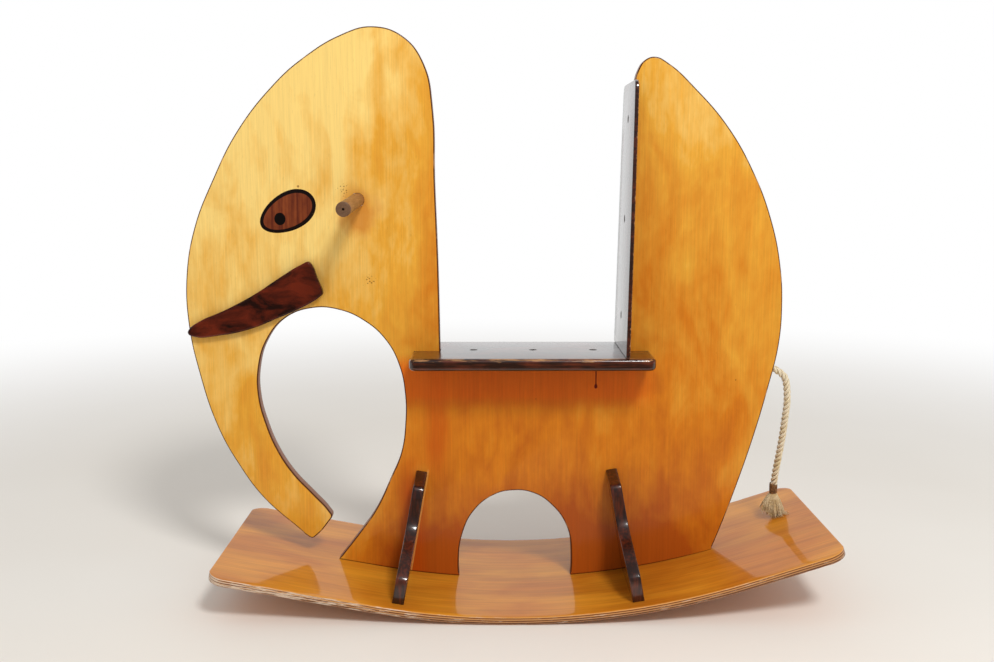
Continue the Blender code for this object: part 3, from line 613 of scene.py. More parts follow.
def honey_varnish():
    """Birch plywood under honey varnish: rotary-cut veneer with faint upright grain, deeper
    and redder where the varnish has run together and aged, and partly as painted shade low
    down, under the seat and beside the front brace. It has a dark worn arris with plies
    behind it, stains round the handle, a varnish run under the seat and painted eyes."""
    paint, tree, shader, place = new_material("birch plywood, aged honey varnish and painted shade", {
        "Roughness": 0.45, "Specular IOR Level": 0.05,
        "Coat Weight": 0.4, "Coat Roughness": 0.18, "Coat IOR": 1.45})
    x, y, z = add(tree, "SeparateXYZ", {"Vector": place}).outputs
    # Age, from 0 at honey to 3 at burnt orange: more below, more behind, most at the feet and
    # under the seat, in clouds of 60 by 140 mm and blotches of 20 by 40 mm. It is partly painted
    # shade: the darkening low down, at the feet, low on the rump and under the seat stands partly
    # for shade, and the paler top of the head partly for a painted sheen
    below = add(tree, "MapRange", [z, 0.62, 0.05, 0.0, 1.15])
    behind = add(tree, "MapRange", [x, -0.25, 0.0, 0.0, 0.95], interpolation_type="SMOOTHSTEP")
    spread = apart_from(tree, x, 0.01)
    middle = add(tree, "MapRange", [spread, 0.27, 0.15], interpolation_type="SMOOTHSTEP")
    pooled_and_shaded = 0.0
    for start, finish, most in ((0.34, 0.28, 0.50), (0.11, 0.02, 0.95), (0.255, 0.275, 0.40)):
        part = add(tree, "MapRange", [z, start, finish, 0.0, most],
                   interpolation_type="SMOOTHSTEP")
        pooled_and_shaded = add(tree, "Math", [part, pooled_and_shaded], operation="ADD")
    pooled_and_shaded = add(tree, "Math", [pooled_and_shaded, middle], operation="MULTIPLY")
    rump_foot = add(tree, "MapRange", [z, 0.16, 0.05, 0.0, 0.55])
    rump_foot = add(tree, "Math", [rump_foot, behind], operation="MULTIPLY")
    cloud = add(tree, "TexNoise", {
        "Vector": add(tree, "Mapping", {"Vector": place, "Scale": (17.0, 17.0, 7.0)}),
        "Scale": 1.0, "Detail": 3.0, "Distortion": 1.2})
    blotch = add(tree, "TexNoise", {
        "Vector": add(tree, "Mapping", {"Vector": place, "Scale": (55.0, 55.0, 26.0)}),
        "Scale": 1.0, "Detail": 4.0, "Roughness": 0.6})
    clouds = add(tree, "MapRange", [cloud, 0.3, 0.7, -0.42, 0.42])
    blotches = add(tree, "MapRange", [blotch, 0.3, 0.7, -0.22, 0.22])
    # A browner streak, 14 mm wide, runs from the top of the head down past the handle
    streak_wide = add(tree, "MapRange", [apart_from(tree, x, -0.1660), 0.0110, 0.0030, 0.0, 0.45])
    streak_end = add(tree, "MapRange", [z, 0.515, 0.555])
    streak = add(tree, "Math", [streak_wide, streak_end], operation="MULTIPLY")
    above = add(tree, "MapRange", [z, 0.56, 0.70, 0.0, -0.30])
    age_and_shade = below
    for part in (above, behind, pooled_and_shaded, rump_foot, clouds, blotches, streak):
        age_and_shade = add(tree, "Math", [age_and_shade, part], operation="ADD")
    ramp = add(tree, "ValToRGB", {"Fac": add(tree, "Math", [age_and_shade, 3.0], operation="DIVIDE")})
    stops = ramp.color_ramp.elements
    stops[0].color, stops[1].color = linear("#F4D07A"), linear("#AC5010")
    for share, code in ((0.33, "#E2A236"), (0.67, "#CF7818")):
        stops.new(share).color = linear(code)
    # Redder under the seat, down to 60 mm below it, which is painted shade where the seat's shadow
    # falls, and in a strip 22 mm wide above the brace
    seat_shade_paint = add(tree, "MapRange", [z, 0.243, 0.262, 0.0, 0.75])
    inner = add(tree, "MapRange", [spread, 0.190, 0.155])
    seat_shade_paint = add(tree, "Math", [seat_shade_paint, inner], operation="MULTIPLY")
    covered = add(tree, "MapRange", [z, 0.318, 0.300])
    strip = apart_from(tree, x, -0.0960)
    uneven = add(tree, "Math", [blotches, 0.03], operation="MULTIPLY")
    strip = add(tree, "Math", [strip, uneven], operation="ADD")
    strip = add(tree, "MapRange", [strip, 0.022, 0.004, 0.0, 0.6])
    upwards = add(tree, "MapRange", [z, 0.13, 0.19])
    strip = add(tree, "Math", [strip, upwards], operation="MULTIPLY")
    # Deep red between the front brace and the throat: partly the brace's painted shadow, partly a
    # pool of varnish
    throat_shadow_and_pool = add(tree, "MapRange", [apart_from(tree, x, -0.1290), 0.024, 0.006, 0.0, 0.85])
    downwards = add(tree, "MapRange", [z, 0.19, 0.13])
    throat_shadow_and_pool = add(tree, "Math", [throat_shadow_and_pool, downwards], operation="MULTIPLY")
    redder = add(tree, "Math", [strip, throat_shadow_and_pool], operation="MAXIMUM")
    for part, code in ((redder, "#BC4A08"), (seat_shade_paint, "#E0620E")):
        part = add(tree, "Math", [part, covered], operation="MULTIPLY")
        ramp = add(tree, "Mix", {"Factor": part, "A": ramp, "B": linear(code)}, data_type="RGBA")
    # Veneer: grain lines 2.5 by 110 mm, pores 1 by 35 mm and flecks 1 by 8 mm
    grain = add(tree, "TexNoise", {
        "Vector": add(tree, "Mapping", {"Vector": place, "Scale": (400.0, 400.0, 9.0)}),
        "Scale": 1.0, "Detail": 3.0, "Roughness": 0.6})
    pore = add(tree, "TexNoise", {
        "Vector": add(tree, "Mapping", {"Vector": place, "Scale": (1000.0, 1000.0, 28.0)}),
        "Scale": 1.0, "Detail": 2.0})
    fleck = add(tree, "TexNoise", {
        "Vector": add(tree, "Mapping", {"Vector": place, "Scale": (800.0, 800.0, 110.0)}),
        "Scale": 1.0})
    figure = 1.0
    for pattern, low, high, darkest, palest in (
            (grain, 0.3, 0.7, 0.92, 1.05), (pore, 0.3, 0.7, 0.95, 1.03),
            (fleck, 0.22, 0.32, 0.86, 1.0)):
        part = add(tree, "MapRange", [pattern, low, high, darkest, palest])
        figure = add(tree, "Math", [part, figure], operation="MULTIPLY")
    paint_so_far = add(
        tree, "Mix", {"Factor": 1.0, "A": ramp, "B": figure}, data_type="RGBA",
        blend_type="MULTIPLY")
    # Specks: dark spots 1 to 2 mm across, some 40 mm apart, and two crowds of small ones, up
    # left of the handle and below it
    cell = add(tree, "TexVoronoi", {"Vector": place, "Scale": 26.0})
    lot = add(tree, "SeparateColor", {"Color": cell.outputs["Color"]}).outputs[0]
    rarity = add(tree, "MapRange", [lot, 0.60, 1.0, 0.0, 0.045])
    spot = add(tree, "Math", [cell.outputs["Distance"], rarity], operation="LESS_THAN")
    crowd = add(tree, "TexVoronoi", {"Vector": place, "Scale": 330.0})
    to_first, to_second = (
        add(tree, "VectorMath", [place, (middle_x, -BOARD_THICK / 2, middle_z)],
            operation="DISTANCE").outputs["Value"]
        for middle_x, middle_z in ((-0.2125, 0.5330), (-0.1810, 0.4150)))
    to_crowd = add(tree, "Math", [to_first, to_second], operation="MINIMUM")
    crowd_size = add(tree, "MapRange", [to_crowd, 0.012, 0.004, 0.0, 0.36])
    mark = add(tree, "Math", [crowd.outputs["Distance"], crowd_size], operation="LESS_THAN")
    spots = add(tree, "Math", [spot, mark], operation="MAXIMUM")
    # Handle: an orange stain, 44 by 56 mm, that hangs below the hole
    squashed = add(tree, "Mapping", {
        "Vector": place, "Location": (0.1940, 0.0, -0.8 * 0.5060), "Scale": (1.0, 0.0, 0.8)})
    from_stain = add(tree, "VectorMath", [squashed], operation="LENGTH").outputs["Value"]
    uneven = add(tree, "MapRange", [blotch, 0.3, 0.7, -0.008, 0.008])
    ragged = add(tree, "Math", [from_stain, uneven], operation="ADD")
    stain = add(tree, "MapRange", [ragged, 0.028, 0.012, 0.0, 0.7])
    # Varnish run under the seat: a thread 1.5 mm wide that ends in a bead
    near_face = add(tree, "Math", [y, 0.0009 - BOARD_THICK / 2], operation="LESS_THAN")
    run_x = add(tree, "Math", [x, -0.1158], operation="ADD")
    run_z = add(tree, "Clamp", {"Value": z, "Min": 0.2745, "Max": 0.3075})
    hang = add(tree, "Math", [z, run_z], operation="SUBTRACT")
    apart = add(tree, "CombineXYZ", [run_x, hang])
    apart = add(tree, "VectorMath", [apart], operation="LENGTH").outputs["Value"]
    bead = add(tree, "MapRange", [z, 0.2790, 0.2765, 0.0008, 0.0020])
    thread = add(tree, "Math", [apart, bead], operation="LESS_THAN")
    ran = add(tree, "Math", [thread, near_face], operation="MULTIPLY")
    # A pale line on the near face beside the front brace, and a dark glue line along the base,
    # whose top stands c * (away - c / 2) / radius over its low point, c being its bent length
    foot, tilt = BRACES["front"]
    side_x = foot + BRACE_THICK / 2 + 0.0006 - math.tan(tilt) * float(base_top(foot))
    leant = add(tree, "Math", [z, math.tan(tilt), side_x], operation="MULTIPLY_ADD")
    beside = add(tree, "Math", [x, leant], operation="SUBTRACT")
    beside = add(tree, "Math", [beside], operation="ABSOLUTE")
    thin = add(tree, "MapRange", [beside, 0.0016, 0.0008])
    high = add(tree, "MapRange", [z, 0.163, 0.157, 0.0, 0.6])
    pale_brace_line = add(tree, "Math", [thin, high], operation="MULTIPLY")
    pale_brace_line = add(tree, "Math", [pale_brace_line, near_face], operation="MULTIPLY")
    away = add(tree, "Math", [x, -BASE_LOW_X], operation="ADD")
    bent = add(tree, "Math", [away, -BEND_AHEAD], operation="MAXIMUM")
    lever = add(tree, "Math", [bent, -0.5, away], operation="MULTIPLY_ADD")
    rise = add(tree, "Math", [bent, lever], operation="MULTIPLY")
    over = add(tree, "Math", [rise, -1 / BEND_RADIUS, z], operation="MULTIPLY_ADD")
    seam = add(tree, "MapRange", [over, BASE_THICK + 0.0020, BASE_THICK + 0.0009, 0.0, 0.8])
    speckle = add(tree, "Math", [spots, 0.6], operation="MULTIPLY")
    for factor, code in ((speckle, "#5E2A0E"), (stain, "#C8741A"), (ran, "#641606"),
                         (pale_brace_line, "#E8A858"), (seam, "#4A1C08")):
        paint_so_far = add(tree, "Mix", {
            "Factor": factor, "A": paint_so_far, "B": linear(code)}, data_type="RGBA")
    # Eye: an egg 78 mm long with a black line 5 mm wide, a brown iris and a black pupil
    eye = add(tree, "SeparateXYZ", {"Vector": add(tree, "Mapping", {
        "Vector": add(tree, "CombineXYZ", [
            add(tree, "Math", [x, -EYE_X], operation="ADD"),
            add(tree, "Math", [z, -EYE_HEIGHT], operation="ADD")]),
        "Rotation": (0.0, 0.0, -EYE_TILT)})})
    swell = add(tree, "MapRange", [eye.outputs[0], -0.038, 0.038, 0.86, 1.14])
    squeezed = add(tree, "Math", [eye.outputs[1], swell], operation="DIVIDE")
    pupil_x = add(tree, "Math", [x, -PUPIL_X], operation="ADD")
    pupil_z = add(tree, "Math", [z, -PUPIL_HEIGHT], operation="ADD")
    ovals = []
    for across, up, (long, wide) in (
            (eye.outputs[0], squeezed, EYE_HALVES[0]), (eye.outputs[0], squeezed, EYE_HALVES[1]),
            (pupil_x, pupil_z, PUPIL_HALVES)):
        reach = add(tree, "CombineXYZ", [
            add(tree, "Math", [across, long], operation="DIVIDE"),
            add(tree, "Math", [up, wide], operation="DIVIDE")])
        reach = add(tree, "VectorMath", [reach], operation="LENGTH")
        ovals.append(add(tree, "Math", [reach.outputs["Value"], 1.0], operation="LESS_THAN"))
    streaked = add(tree, "Math", [blotch, grain], operation="ADD")
    iris = add(tree, "Mix", {
        "Factor": add(tree, "MapRange", [streaked, 0.80, 1.2]),
        "A": linear("#84401F"), "B": linear("#5E2716")}, data_type="RGBA")
    looks = add(tree, "Mix", {
        "Factor": ovals[2], "A": iris, "B": linear("#0D0706")}, data_type="RGBA")
    lined = add(tree, "Mix", {
        "Factor": ovals[1], "A": linear("#150A08"), "B": looks}, data_type="RGBA")
    eyed = add(tree, "Mix", {"Factor": ovals[0], "A": paint_so_far, "B": lined}, data_type="RGBA")
    # Sawn edge: pale and brown plies by turns under brown varnish, darkest at the arris
    ply = add(tree, "Math", [y, BOARD_PLIES * math.pi / BOARD_THICK], operation="MULTIPLY")
    ply = add(tree, "Math", [ply], operation="COSINE")
    plies = add(tree, "Mix", {
        "Factor": add(tree, "MapRange", [ply, -0.4, 0.4]), "A": linear("#9A5C28"),
        "B": linear("#6A3616")}, data_type="RGBA")
    out = add(tree, "Math", [y], operation="ABSOLUTE")
    arris = add(tree, "MapRange", [out, 0.0058, 0.0070])
    worn = add(tree, "Mix", {
        "Factor": add(tree, "MapRange", [blotch, 0.58, 0.66, 0.0, 0.7]), "A": linear("#54280F"),
        "B": linear("#B98A58")}, data_type="RGBA")
    edge = add(tree, "Mix", {"Factor": arris, "A": plies, "B": worn}, data_type="RGBA")
    rim = add(tree, "Attribute", attribute_name="rim").outputs["Fac"]
    on_edge = add(tree, "MapRange", [rim, 0.02, 0.12])
    whole = add(tree, "Mix", {"Factor": on_edge, "A": eyed, "B": edge}, data_type="RGBA")
    bump = add(tree, "Bump", {"Strength": 0.12, "Distance": 0.0004, "Height": grain})
    add(tree, shader, {"Base Color": whole, "Normal": bump})
    return paint


outline = faired(cut_loops("body_board", (0, -0.006, 0), (1, 0, 0), (0, 0, 1))[0], 0.0025)
board_low, board_high = (np.array(corner)[[0, 2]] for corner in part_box("body_board"))
outline = np.clip(outline, board_low, board_high)
middles = (outline + np.roll(outline, -1, axis=0)) / 2
free = middles[:, 1] > base_top(middles[:, 0]) + 0.0015
board = sawn(
    "elephant_board", outline, ((0, 0, 0), (1, 0, 0), (0, 0, 1)), BOARD_THICK, BOARD_ARRIS,
    honey_varnish(), weight=free,
)
hole_radius = HANDLE_DIAMETER / 2 + HANDLE_GAP
drill(board, *spun(
    [(0.0, -HOLE_REACH), (hole_radius, -HOLE_REACH), (hole_radius, HOLE_REACH),
     (0.0, HOLE_REACH)],
    (HANDLE_X, 0.0, HANDLE_HEIGHT), HANDLE_AXIS, 48))
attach(board, "root")
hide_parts("body_board")


# Seat
# A 16 mm board slotted at both ends, so that it straddles the head and the rump, with its
# outer edges rounded over. It is stained nearly black, varnished, and screwed down from above.
SEAT_ROUND = 0.005
SLOT_HALF = BOARD_THICK / 2 + 0.001
SEAT_SCREW_LENGTH, SEAT_HOLE_DEPTH = 0.045, 0.018
SEAT_SCREWS = ((-0.046, 20.0), (0.0325, 75.0), (0.112, -35.0))  # x, turn of the slot


def dark_stain(name, chipped, run):
    """Beech, stained dark brown and varnished: almost black in the shade, red-brown where the
    stain is thin, with fine grain and a clear gloss. The arris of its first face, and less the
    edge beside it, is worn to a pale line where a noise is over the value chipped. run is the
    grain's scale along the three axes."""
    paint, tree, shader, place = new_material(name, {
        "Roughness": 0.35, "Specular IOR Level": 0.25,
        "Coat Weight": 1.0, "Coat Roughness": 0.13, "Coat IOR": 1.5})
    patch = add(tree, "TexNoise", {
        "Vector": place, "Scale": 26.0, "Detail": 5.0, "Roughness": 0.6})
    streak = add(tree, "TexNoise", {
        "Vector": add(tree, "Mapping", {"Vector": place, "Scale": run}), "Scale": 1.0,
        "Detail": 3.0})
    mixed = add(tree, "Math", [patch, streak], operation="MULTIPLY")
    thin = add(tree, "MapRange", [mixed, 0.20, 0.40])
    stain = add(tree, "Mix", {
        "Factor": thin, "A": linear("#260D06"), "B": linear("#5E240E")}, data_type="RGBA")
    rim = add(tree, "Attribute", attribute_name="rim").outputs["Fac"]
    depth = add(tree, "Attribute", attribute_name="depth").outputs["Fac"]
    rising = add(tree, "MapRange", [rim, 0.05, 0.25])
    past = add(tree, "MapRange", [depth, 0.1, 0.5, 0.0, 0.3])
    chip = add(tree, "TexNoise", {
        "Vector": add(tree, "Mapping", {"Vector": place, "Scale": run}), "Scale": 1.3,
        "Detail": 4.0, "Roughness": 0.65})
    over = add(tree, "Math", [chip, past], operation="SUBTRACT")
    worn = add(tree, "MapRange", [over, chipped, chipped + 0.1, 0.0, 0.85])
    worn = add(tree, "Math", [worn, rising], operation="MULTIPLY")
    bared = add(tree, "Mix", {
        "Factor": worn, "A": stain, "B": linear("#B4804E")}, data_type="RGBA")
    bump = add(tree, "Bump", {"Strength": 0.12, "Distance": 0.0004, "Height": mixed})
    add(tree, shader, {"Base Color": bared, "Normal": bump})
    return paint


seat_low, seat_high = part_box("seat")
SEAT_TOP = float(seat_high[2])
seat_middle, seat_thick = (seat_low[2] + seat_high[2]) / 2, seat_high[2] - seat_low[2]
seat_place = ((0, 0, seat_middle), (1, 0, 0), (0, 1, 0))
seat_wood = dark_stain("beech board, dark stain and gloss varnish", 0.48, (26.0, 300.0, 300.0))
seat_loop = faired(cut_loops("seat", *seat_place)[0], 0.003)
middles = (seat_loop + np.roll(seat_loop, -1, axis=0)) / 2
seat = sawn(
    "slotted_seat", seat_loop, seat_place, seat_thick, SEAT_ROUND, seat_wood,
    weight=np.abs(middles[:, 1]) > SLOT_HALF, bends=9,
)
for number, (x, slot_turn) in enumerate(SEAT_SCREWS, 1):
    place, out = (x, 0, SEAT_TOP), (0, 0, 1)
    screw_hole(seat, place, out, SEAT_HOLE_DEPTH)
    screws.append((f"seat_screw_{number}", SEAT_SCREW_LENGTH, place, out, slot_turn))
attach(seat, "root")
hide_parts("seat")


# Backrest
# A 5 mm plywood panel, narrower at the top, that stands on the seat and is screwed to the
# rump's front edge. It is stained and varnished like the seat.
BACKREST_X, BACKREST_THICK = 0.1476, 0.005
BACKREST_LEAN = math.radians(1.0)
BACKREST_ROUND = 0.0012
BACKREST_GAP = 0.0003  # over the seat
BACKREST_SCREW_LENGTH, BACKREST_HOLE_DEPTH = 0.032, 0.007
BACKREST_SCREWS = ((0.0465, 10.0), (0.1725, 60.0), (0.2995, -20.0))  # height, turn of the slot
lean_sine, lean_cosine = math.sin(BACKREST_LEAN), math.cos(BACKREST_LEAN)
back_place = (
    (BACKREST_X + BACKREST_THICK / 2, 0, SEAT_TOP), (0, 1, 0), (lean_sine, 0, lean_cosine))
back_loop = faired(cut_loops("backrest", *back_place)[0], 0.003)
backrest = sawn(
    "plywood_backrest", back_loop, back_place, BACKREST_THICK, BACKREST_ROUND, seat_wood)
for number, (height, slot_turn) in enumerate(BACKREST_SCREWS, 1):
    reach = height + BACKREST_GAP
    place = (BACKREST_X + reach * lean_sine, 0, SEAT_TOP + reach * lean_cosine)
    out = (-lean_cosine, 0, lean_sine)
    screw_hole(backrest, place, out, BACKREST_HOLE_DEPTH)
    screws.append((f"backrest_screw_{number}", BACKREST_SCREW_LENGTH, place, out, slot_turn))
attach(backrest, "root")
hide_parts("backrest")


# Braces
# Four knees of 15 mm board, stained dark, that stand on the base against the body board and
# hold it upright. Each is fixed by glue and by one screw through the base.
BRACE_ROUND = 0.0018
brace_wood = dark_stain("beech knee, dark stain and gloss varnish", 0.62, (300.0, 300.0, 26.0))
for end, (x, tilt) in BRACES.items():
    place = ((x, 0, float(base_top(x))), (0, 1, 0), (math.sin(tilt), 0, math.cos(tilt)))
    for side, sign in (("near", -1), ("far", 1)):
        loop = cut_loops(f"{end}_brace_{side}", *place)[0]
        bored = np.abs(loop[:, 0] - sign * BRACE_SCREW_Y) < 0.004  # the screw's own hole
        loop = faired(loop[~(bored & (loop[:, 1] < BASE_SCREW_LENGTH))], 0.003)
        middles = (loop + np.roll(loop, -1, axis=0)) / 2
        free = (middles[:, 1] > 0.002) & (sign * middles[:, 0] > BOARD_THICK / 2 + 0.001)
        brace = sawn(
            f"{end}_knee_{side}", loop, place, BRACE_THICK, BRACE_ROUND, brace_wood, weight=free)
        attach(brace, "root")
        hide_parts(f"{end}_brace_{side}")


# Tusks
# Two tapering pieces of 10 mm wood with rounded edges, stained red-brown, varnished, and
# glued one on each face of the head.
TUSK_THICK, TUSK_ROUND = 0.010, 0.003


def red_stain():
    """Beech, stained red-brown and varnished: a dark ground with redder patches where the
    stain lies thin, and a clear gloss."""
    paint, tree, shader, place = new_material("beech, red-brown stain and varnish", {
        "Roughness": 0.34, "Specular IOR Level": 0.1,
        "Coat Weight": 0.55, "Coat Roughness": 0.10, "Coat IOR": 1.45})
    patch = add(tree, "TexNoise", {
        "Vector": add(tree, "Mapping", {"Vector": place, "Scale": (22.0, 40.0, 48.0)}),
        "Scale": 1.0, "Detail": 5.0, "Roughness": 0.62, "Distortion": 0.5})
    thin = add(tree, "MapRange", [patch, 0.38, 0.66])
    stain = add(tree, "Mix", {
        "Factor": thin, "A": linear("#1E0705"), "B": linear("#66200D")}, data_type="RGBA")
    bump = add(tree, "Bump", {"Strength": 0.2, "Distance": 0.0005, "Height": patch})
    add(tree, shader, {"Base Color": stain, "Normal": bump})
    return paint


red_wood = red_stain()
for side in ("near", "far"):
    low, high = (np.array(corner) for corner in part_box("tusk_" + side))
    place = ((0, (low[1] + high[1]) / 2, 0), (1, 0, 0), (0, 0, 1))
    loop = faired(cut_loops("tusk_" + side, *place)[0], 0.0015)
    tusk = sawn(f"sanded_tusk_{side}", loop, place, TUSK_THICK, TUSK_ROUND, red_wood, bends=8)
    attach(tusk, "root")
    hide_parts("tusk_" + side)


# Handle
# A beech dowel 18 mm thick, driven through a hole in the head and glued. It droops a little
# towards the near side, and each end has a centre hole from the lathe.
HANDLE_LENGTH, HANDLE_END_ROUND = 0.275, 0.0014
CENTRE_HOLE_RADIUS, CENTRE_HOLE_DEPTH, CENTRE_HOLE_BEVEL = 0.0015, 0.006, 0.0004


def dowel_varnish():
    """Beech dowel, varnished brown and handled for years: fine lengthways pores, greyer where
    hands have polished it, and darker end grain."""
    paint, tree, shader, place = new_material("beech dowel, brown varnish", {
        "Roughness": 0.45, "Specular IOR Level": 0.3, "Coat Weight": 0.3, "Coat Roughness": 0.25})
    pore = add(tree, "TexNoise", {
        "Vector": add(tree, "Mapping", {"Vector": place, "Scale": (700.0, 26.0, 700.0)}),
        "Scale": 1.0, "Detail": 3.0})
    grime = add(tree, "TexNoise", {"Vector": place, "Scale": 60.0, "Detail": 3.0})
    wood = add(tree, "Mix", {
        "Factor": add(tree, "MapRange", [pore, 0.35, 0.65]), "A": linear("#A0714C"),
        "B": linear("#7C4E30")}, data_type="RGBA")
    dirty = add(tree, "Mix", {
        "Factor": add(tree, "MapRange", [grime, 0.45, 0.7, 0.0, 0.6]), "A": wood,
        "B": linear("#6B4028")}, data_type="RGBA")
    along = add(tree, "SeparateXYZ", {"Vector": place}).outputs[1]
    reach = add(tree, "Math", [along], operation="ABSOLUTE")
    tip = add(tree, "MapRange", [
        reach, HANDLE_LENGTH / 2 - 0.0022, HANDLE_LENGTH / 2 - 0.0010, 0.0, 0.75])
    ended = add(tree, "Mix", {"Factor": tip, "A": dirty, "B": linear("#5F4734")}, data_type="RGBA")
    bump = add(tree, "Bump", {"Strength": 0.2, "Distance": 0.0003, "Height": pore})
    add(tree, shader, {"Base Color": ended, "Normal": bump})
    return paint


half, radius = HANDLE_LENGTH / 2, HANDLE_DIAMETER / 2
bow = np.linspace(0, np.pi / 2, ARRIS_STEPS)
worn_end = np.stack([
    radius - HANDLE_END_ROUND * (1 - np.sin(bow)), HANDLE_END_ROUND * (1 - np.cos(bow)) - half], -1)
near_end = np.concatenate([
    [(0.0, CENTRE_HOLE_DEPTH - half), (CENTRE_HOLE_RADIUS, CENTRE_HOLE_DEPTH - half),
     (CENTRE_HOLE_RADIUS, CENTRE_HOLE_BEVEL - half),
     (CENTRE_HOLE_RADIUS + CENTRE_HOLE_BEVEL, -half)], worn_end])
shaft = np.stack([np.full(9, radius), np.linspace(-0.8 * half, 0.8 * half, 9)], -1)
profile = np.concatenate([near_end, shaft, near_end[::-1] * (1, -1)])
dowel_points, dowel_faces = spun(profile, (HANDLE_X, 0.0, HANDLE_HEIGHT), HANDLE_AXIS, 48)
handle = new_piece("turned_handle", dowel_points, dowel_faces, dowel_varnish())
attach(handle, "root")
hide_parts("handle_dowel")


# Screws
# Slotted countersunk wood screws of blackened steel: three hold the seat, three the backrest,
# and eight come up through the base into the feet and the braces.
SCREW_SLOT, SCREW_SLOT_DEPTH = 0.0012, 0.0011
CHORDS = 7  # on each side of the slot


def screw_radius(depth):
    """Radius of a countersunk screw at a depth: a thin edge, then a 90 degree cone."""
    cone = SCREW_HEAD_RADIUS - (depth - SCREW_EDGE)
    return np.clip(cone, SCREW_SHANK_RADIUS, SCREW_HEAD_RADIUS)


def slotted_screw(length, place, out, slot_turn):
    """A screw from its head's place, the way its head faces and its slot's turn. The head's
    face is a grid of chords across the slot, sunk where they lie in it, and its outline is
    then carried down the cone and the shank to the point."""
    rim = np.arcsin(SCREW_SLOT / 2 / SCREW_HEAD_RADIUS)
    rise = SCREW_HEAD_RADIUS * np.sin(np.linspace(rim, 1.45, CHORDS))
    half_slot = SCREW_SLOT / 2
    y = np.concatenate([-rise[::-1], [-half_slot, half_slot], rise])
    sunk = np.zeros(len(y))
    sunk[CHORDS:CHORDS + 2] = SCREW_SLOT_DEPTH
    wide = np.sqrt(screw_radius(sunk)**2 - y**2)
    share = np.linspace(-1, 1, 13)
    head = np.stack(np.broadcast_arrays(wide[:, None] * share, y[:, None], -sunk[:, None]), -1)
    rows, columns = head.shape[:2]
    index = np.arange(rows * columns).reshape(rows, columns)
    border = np.concatenate([index[0], index[1:, -1], index[-1, -2::-1], index[-2:0:-1, 0]])
    edge = head.reshape(-1, 3)[border]
    round_to = unit(edge[:, :2])
    levels = np.array([0.0016, 0.0023, 0.0028, length - 0.006, length - 0.002, length])
    radii = np.concatenate([screw_radius(levels[:4]), [0.6 * SCREW_SHANK_RADIUS, 0.0002]])
    rings_below = len(levels)
    sunk_to = np.broadcast_to(-levels[:, None, None], (rings_below, len(edge), 1))
    below = np.concatenate([radii[:, None, None] * round_to, sunk_to], -1)
    points = np.concatenate([head.reshape(-1, 3), below.reshape(-1, 3)])
    rings = np.arange(rings_below * len(edge)).reshape(rings_below, -1)
    rings = np.concatenate([border[None], rows * columns + rings])
    nearby = np.roll(rings, -1, axis=1)
    sides = np.stack([rings[:-1], nearby[:-1], nearby[1:], rings[1:]], -1).reshape(-1, 4)
    faces = grid_quads(rows, columns, closed=False).tolist() + sides.tolist() + [rings[-1].tolist()]
    out = unit(np.array(out, dtype=float))
    side = unit(np.cross(out, (0.0, 1.0, 0.0)))
    turned = math.cos(slot_turn) * side + math.sin(slot_turn) * np.cross(out, side)
    basis = np.stack([turned, np.cross(out, turned), out])
    return np.array(place) - SCREW_SUNK * out + points @ basis, faces


def black_steel():
    """Steel, blackened and dulled by old varnish: nearly black with a brown cast, and brighter
    rubbed spots that catch the light."""
    paint, tree, shader, place = new_material("steel, blackened", {"Metallic": 1.0})
    rub = add(tree, "TexNoise", {"Vector": place, "Scale": 700.0, "Detail": 3.0})
    shine = add(tree, "MapRange", [rub, 0.4, 0.7])
    tone = add(tree, "Mix", {
        "Factor": shine, "A": linear("#2A211D"), "B": linear("#5C4C42")}, data_type="RGBA")
    gloss = add(tree, "MapRange", [rub, 0.3, 0.7, 0.6, 0.38])
    add(tree, shader, {"Base Color": tone, "Roughness": gloss})
    return paint


steel = black_steel()
for node, length, place, out, slot_turn in screws:
    points, faces = slotted_screw(length, place, out, math.radians(slot_turn))
    screw = new_piece("slotted_" + node, points, faces, steel)
    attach(screw, "root")
    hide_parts(node)


# Whipping and tassel
# Waxed twine is wound round the rope above its end. Below it the strands are undone, and their
# fibres hang in three locks, the fullest at the rear, whose ends lie on the base.
WHIPPING_LENGTH, WHIPPING_RADIUS = 0.015, 0.0055
WHIPPING_SIDES, WHIPPING_BORE = 40, 0.0045
TWINE = 0.0016
LOCKS = (  # fibres, length, lean along x and along y in radians
    (150, 0.029, -0.44, 0.08),
    (190, 0.031, -0.06, -0.16),
    (210, 0.036, 0.27, -0.12),
)
FIBRE_RADIUS, FIBRE_STEPS = 0.00060, 12
BUNDLE_RADIUS, FIBRE_SPLAY, FIBRE_CURL = 0.0036, 0.26, 0.0011
PILE_LOW, PILE_DEEP = 0.0008, 0.0022  # where the fibres lie, over the base
rope_end = rope_line[-1]
fall = unit(TAIL_ROUTE[-1] - TAIL_ROUTE[-2])
beside = unit(np.cross(fall, (0.0, 1.0, 0.0)))
behind = np.cross(fall, beside)

# The winding is a sleeve whose surface rises in one round ridge that climbs a twine's width a
# turn. It draws in at both ends, and a bore lets the rope through
steps = np.linspace(0.0, WHIPPING_LENGTH, 97)[:, None]
turn = np.arange(WHIPPING_SIDES) * 2 * np.pi / WHIPPING_SIDES
phase = np.mod(steps / TWINE - turn / (2 * np.pi), 1.0) * 2 - 1
ridge = np.sqrt(np.clip(1 - phase**2, 0, 1)) * TWINE / 2
girth = WHIPPING_RADIUS - TWINE / 2 + ridge + 0.0002 * np.sin(3 * turn + 200 * steps)
girth = girth - 0.0006 * (np.abs(steps / WHIPPING_LENGTH - 0.5) * 2)**6
ring = np.cos(turn)[:, None] * beside + np.sin(turn)[:, None] * behind
sleeve = rope_end - steps[..., None] * fall + np.maximum(girth, WHIPPING_BORE)[..., None] * ring
bore = rope_end + (WHIPPING_BORE - 0.0002) * ring
twine_points = np.concatenate([
    bore[None], sleeve, (bore - WHIPPING_LENGTH * fall)[None], bore[None]])


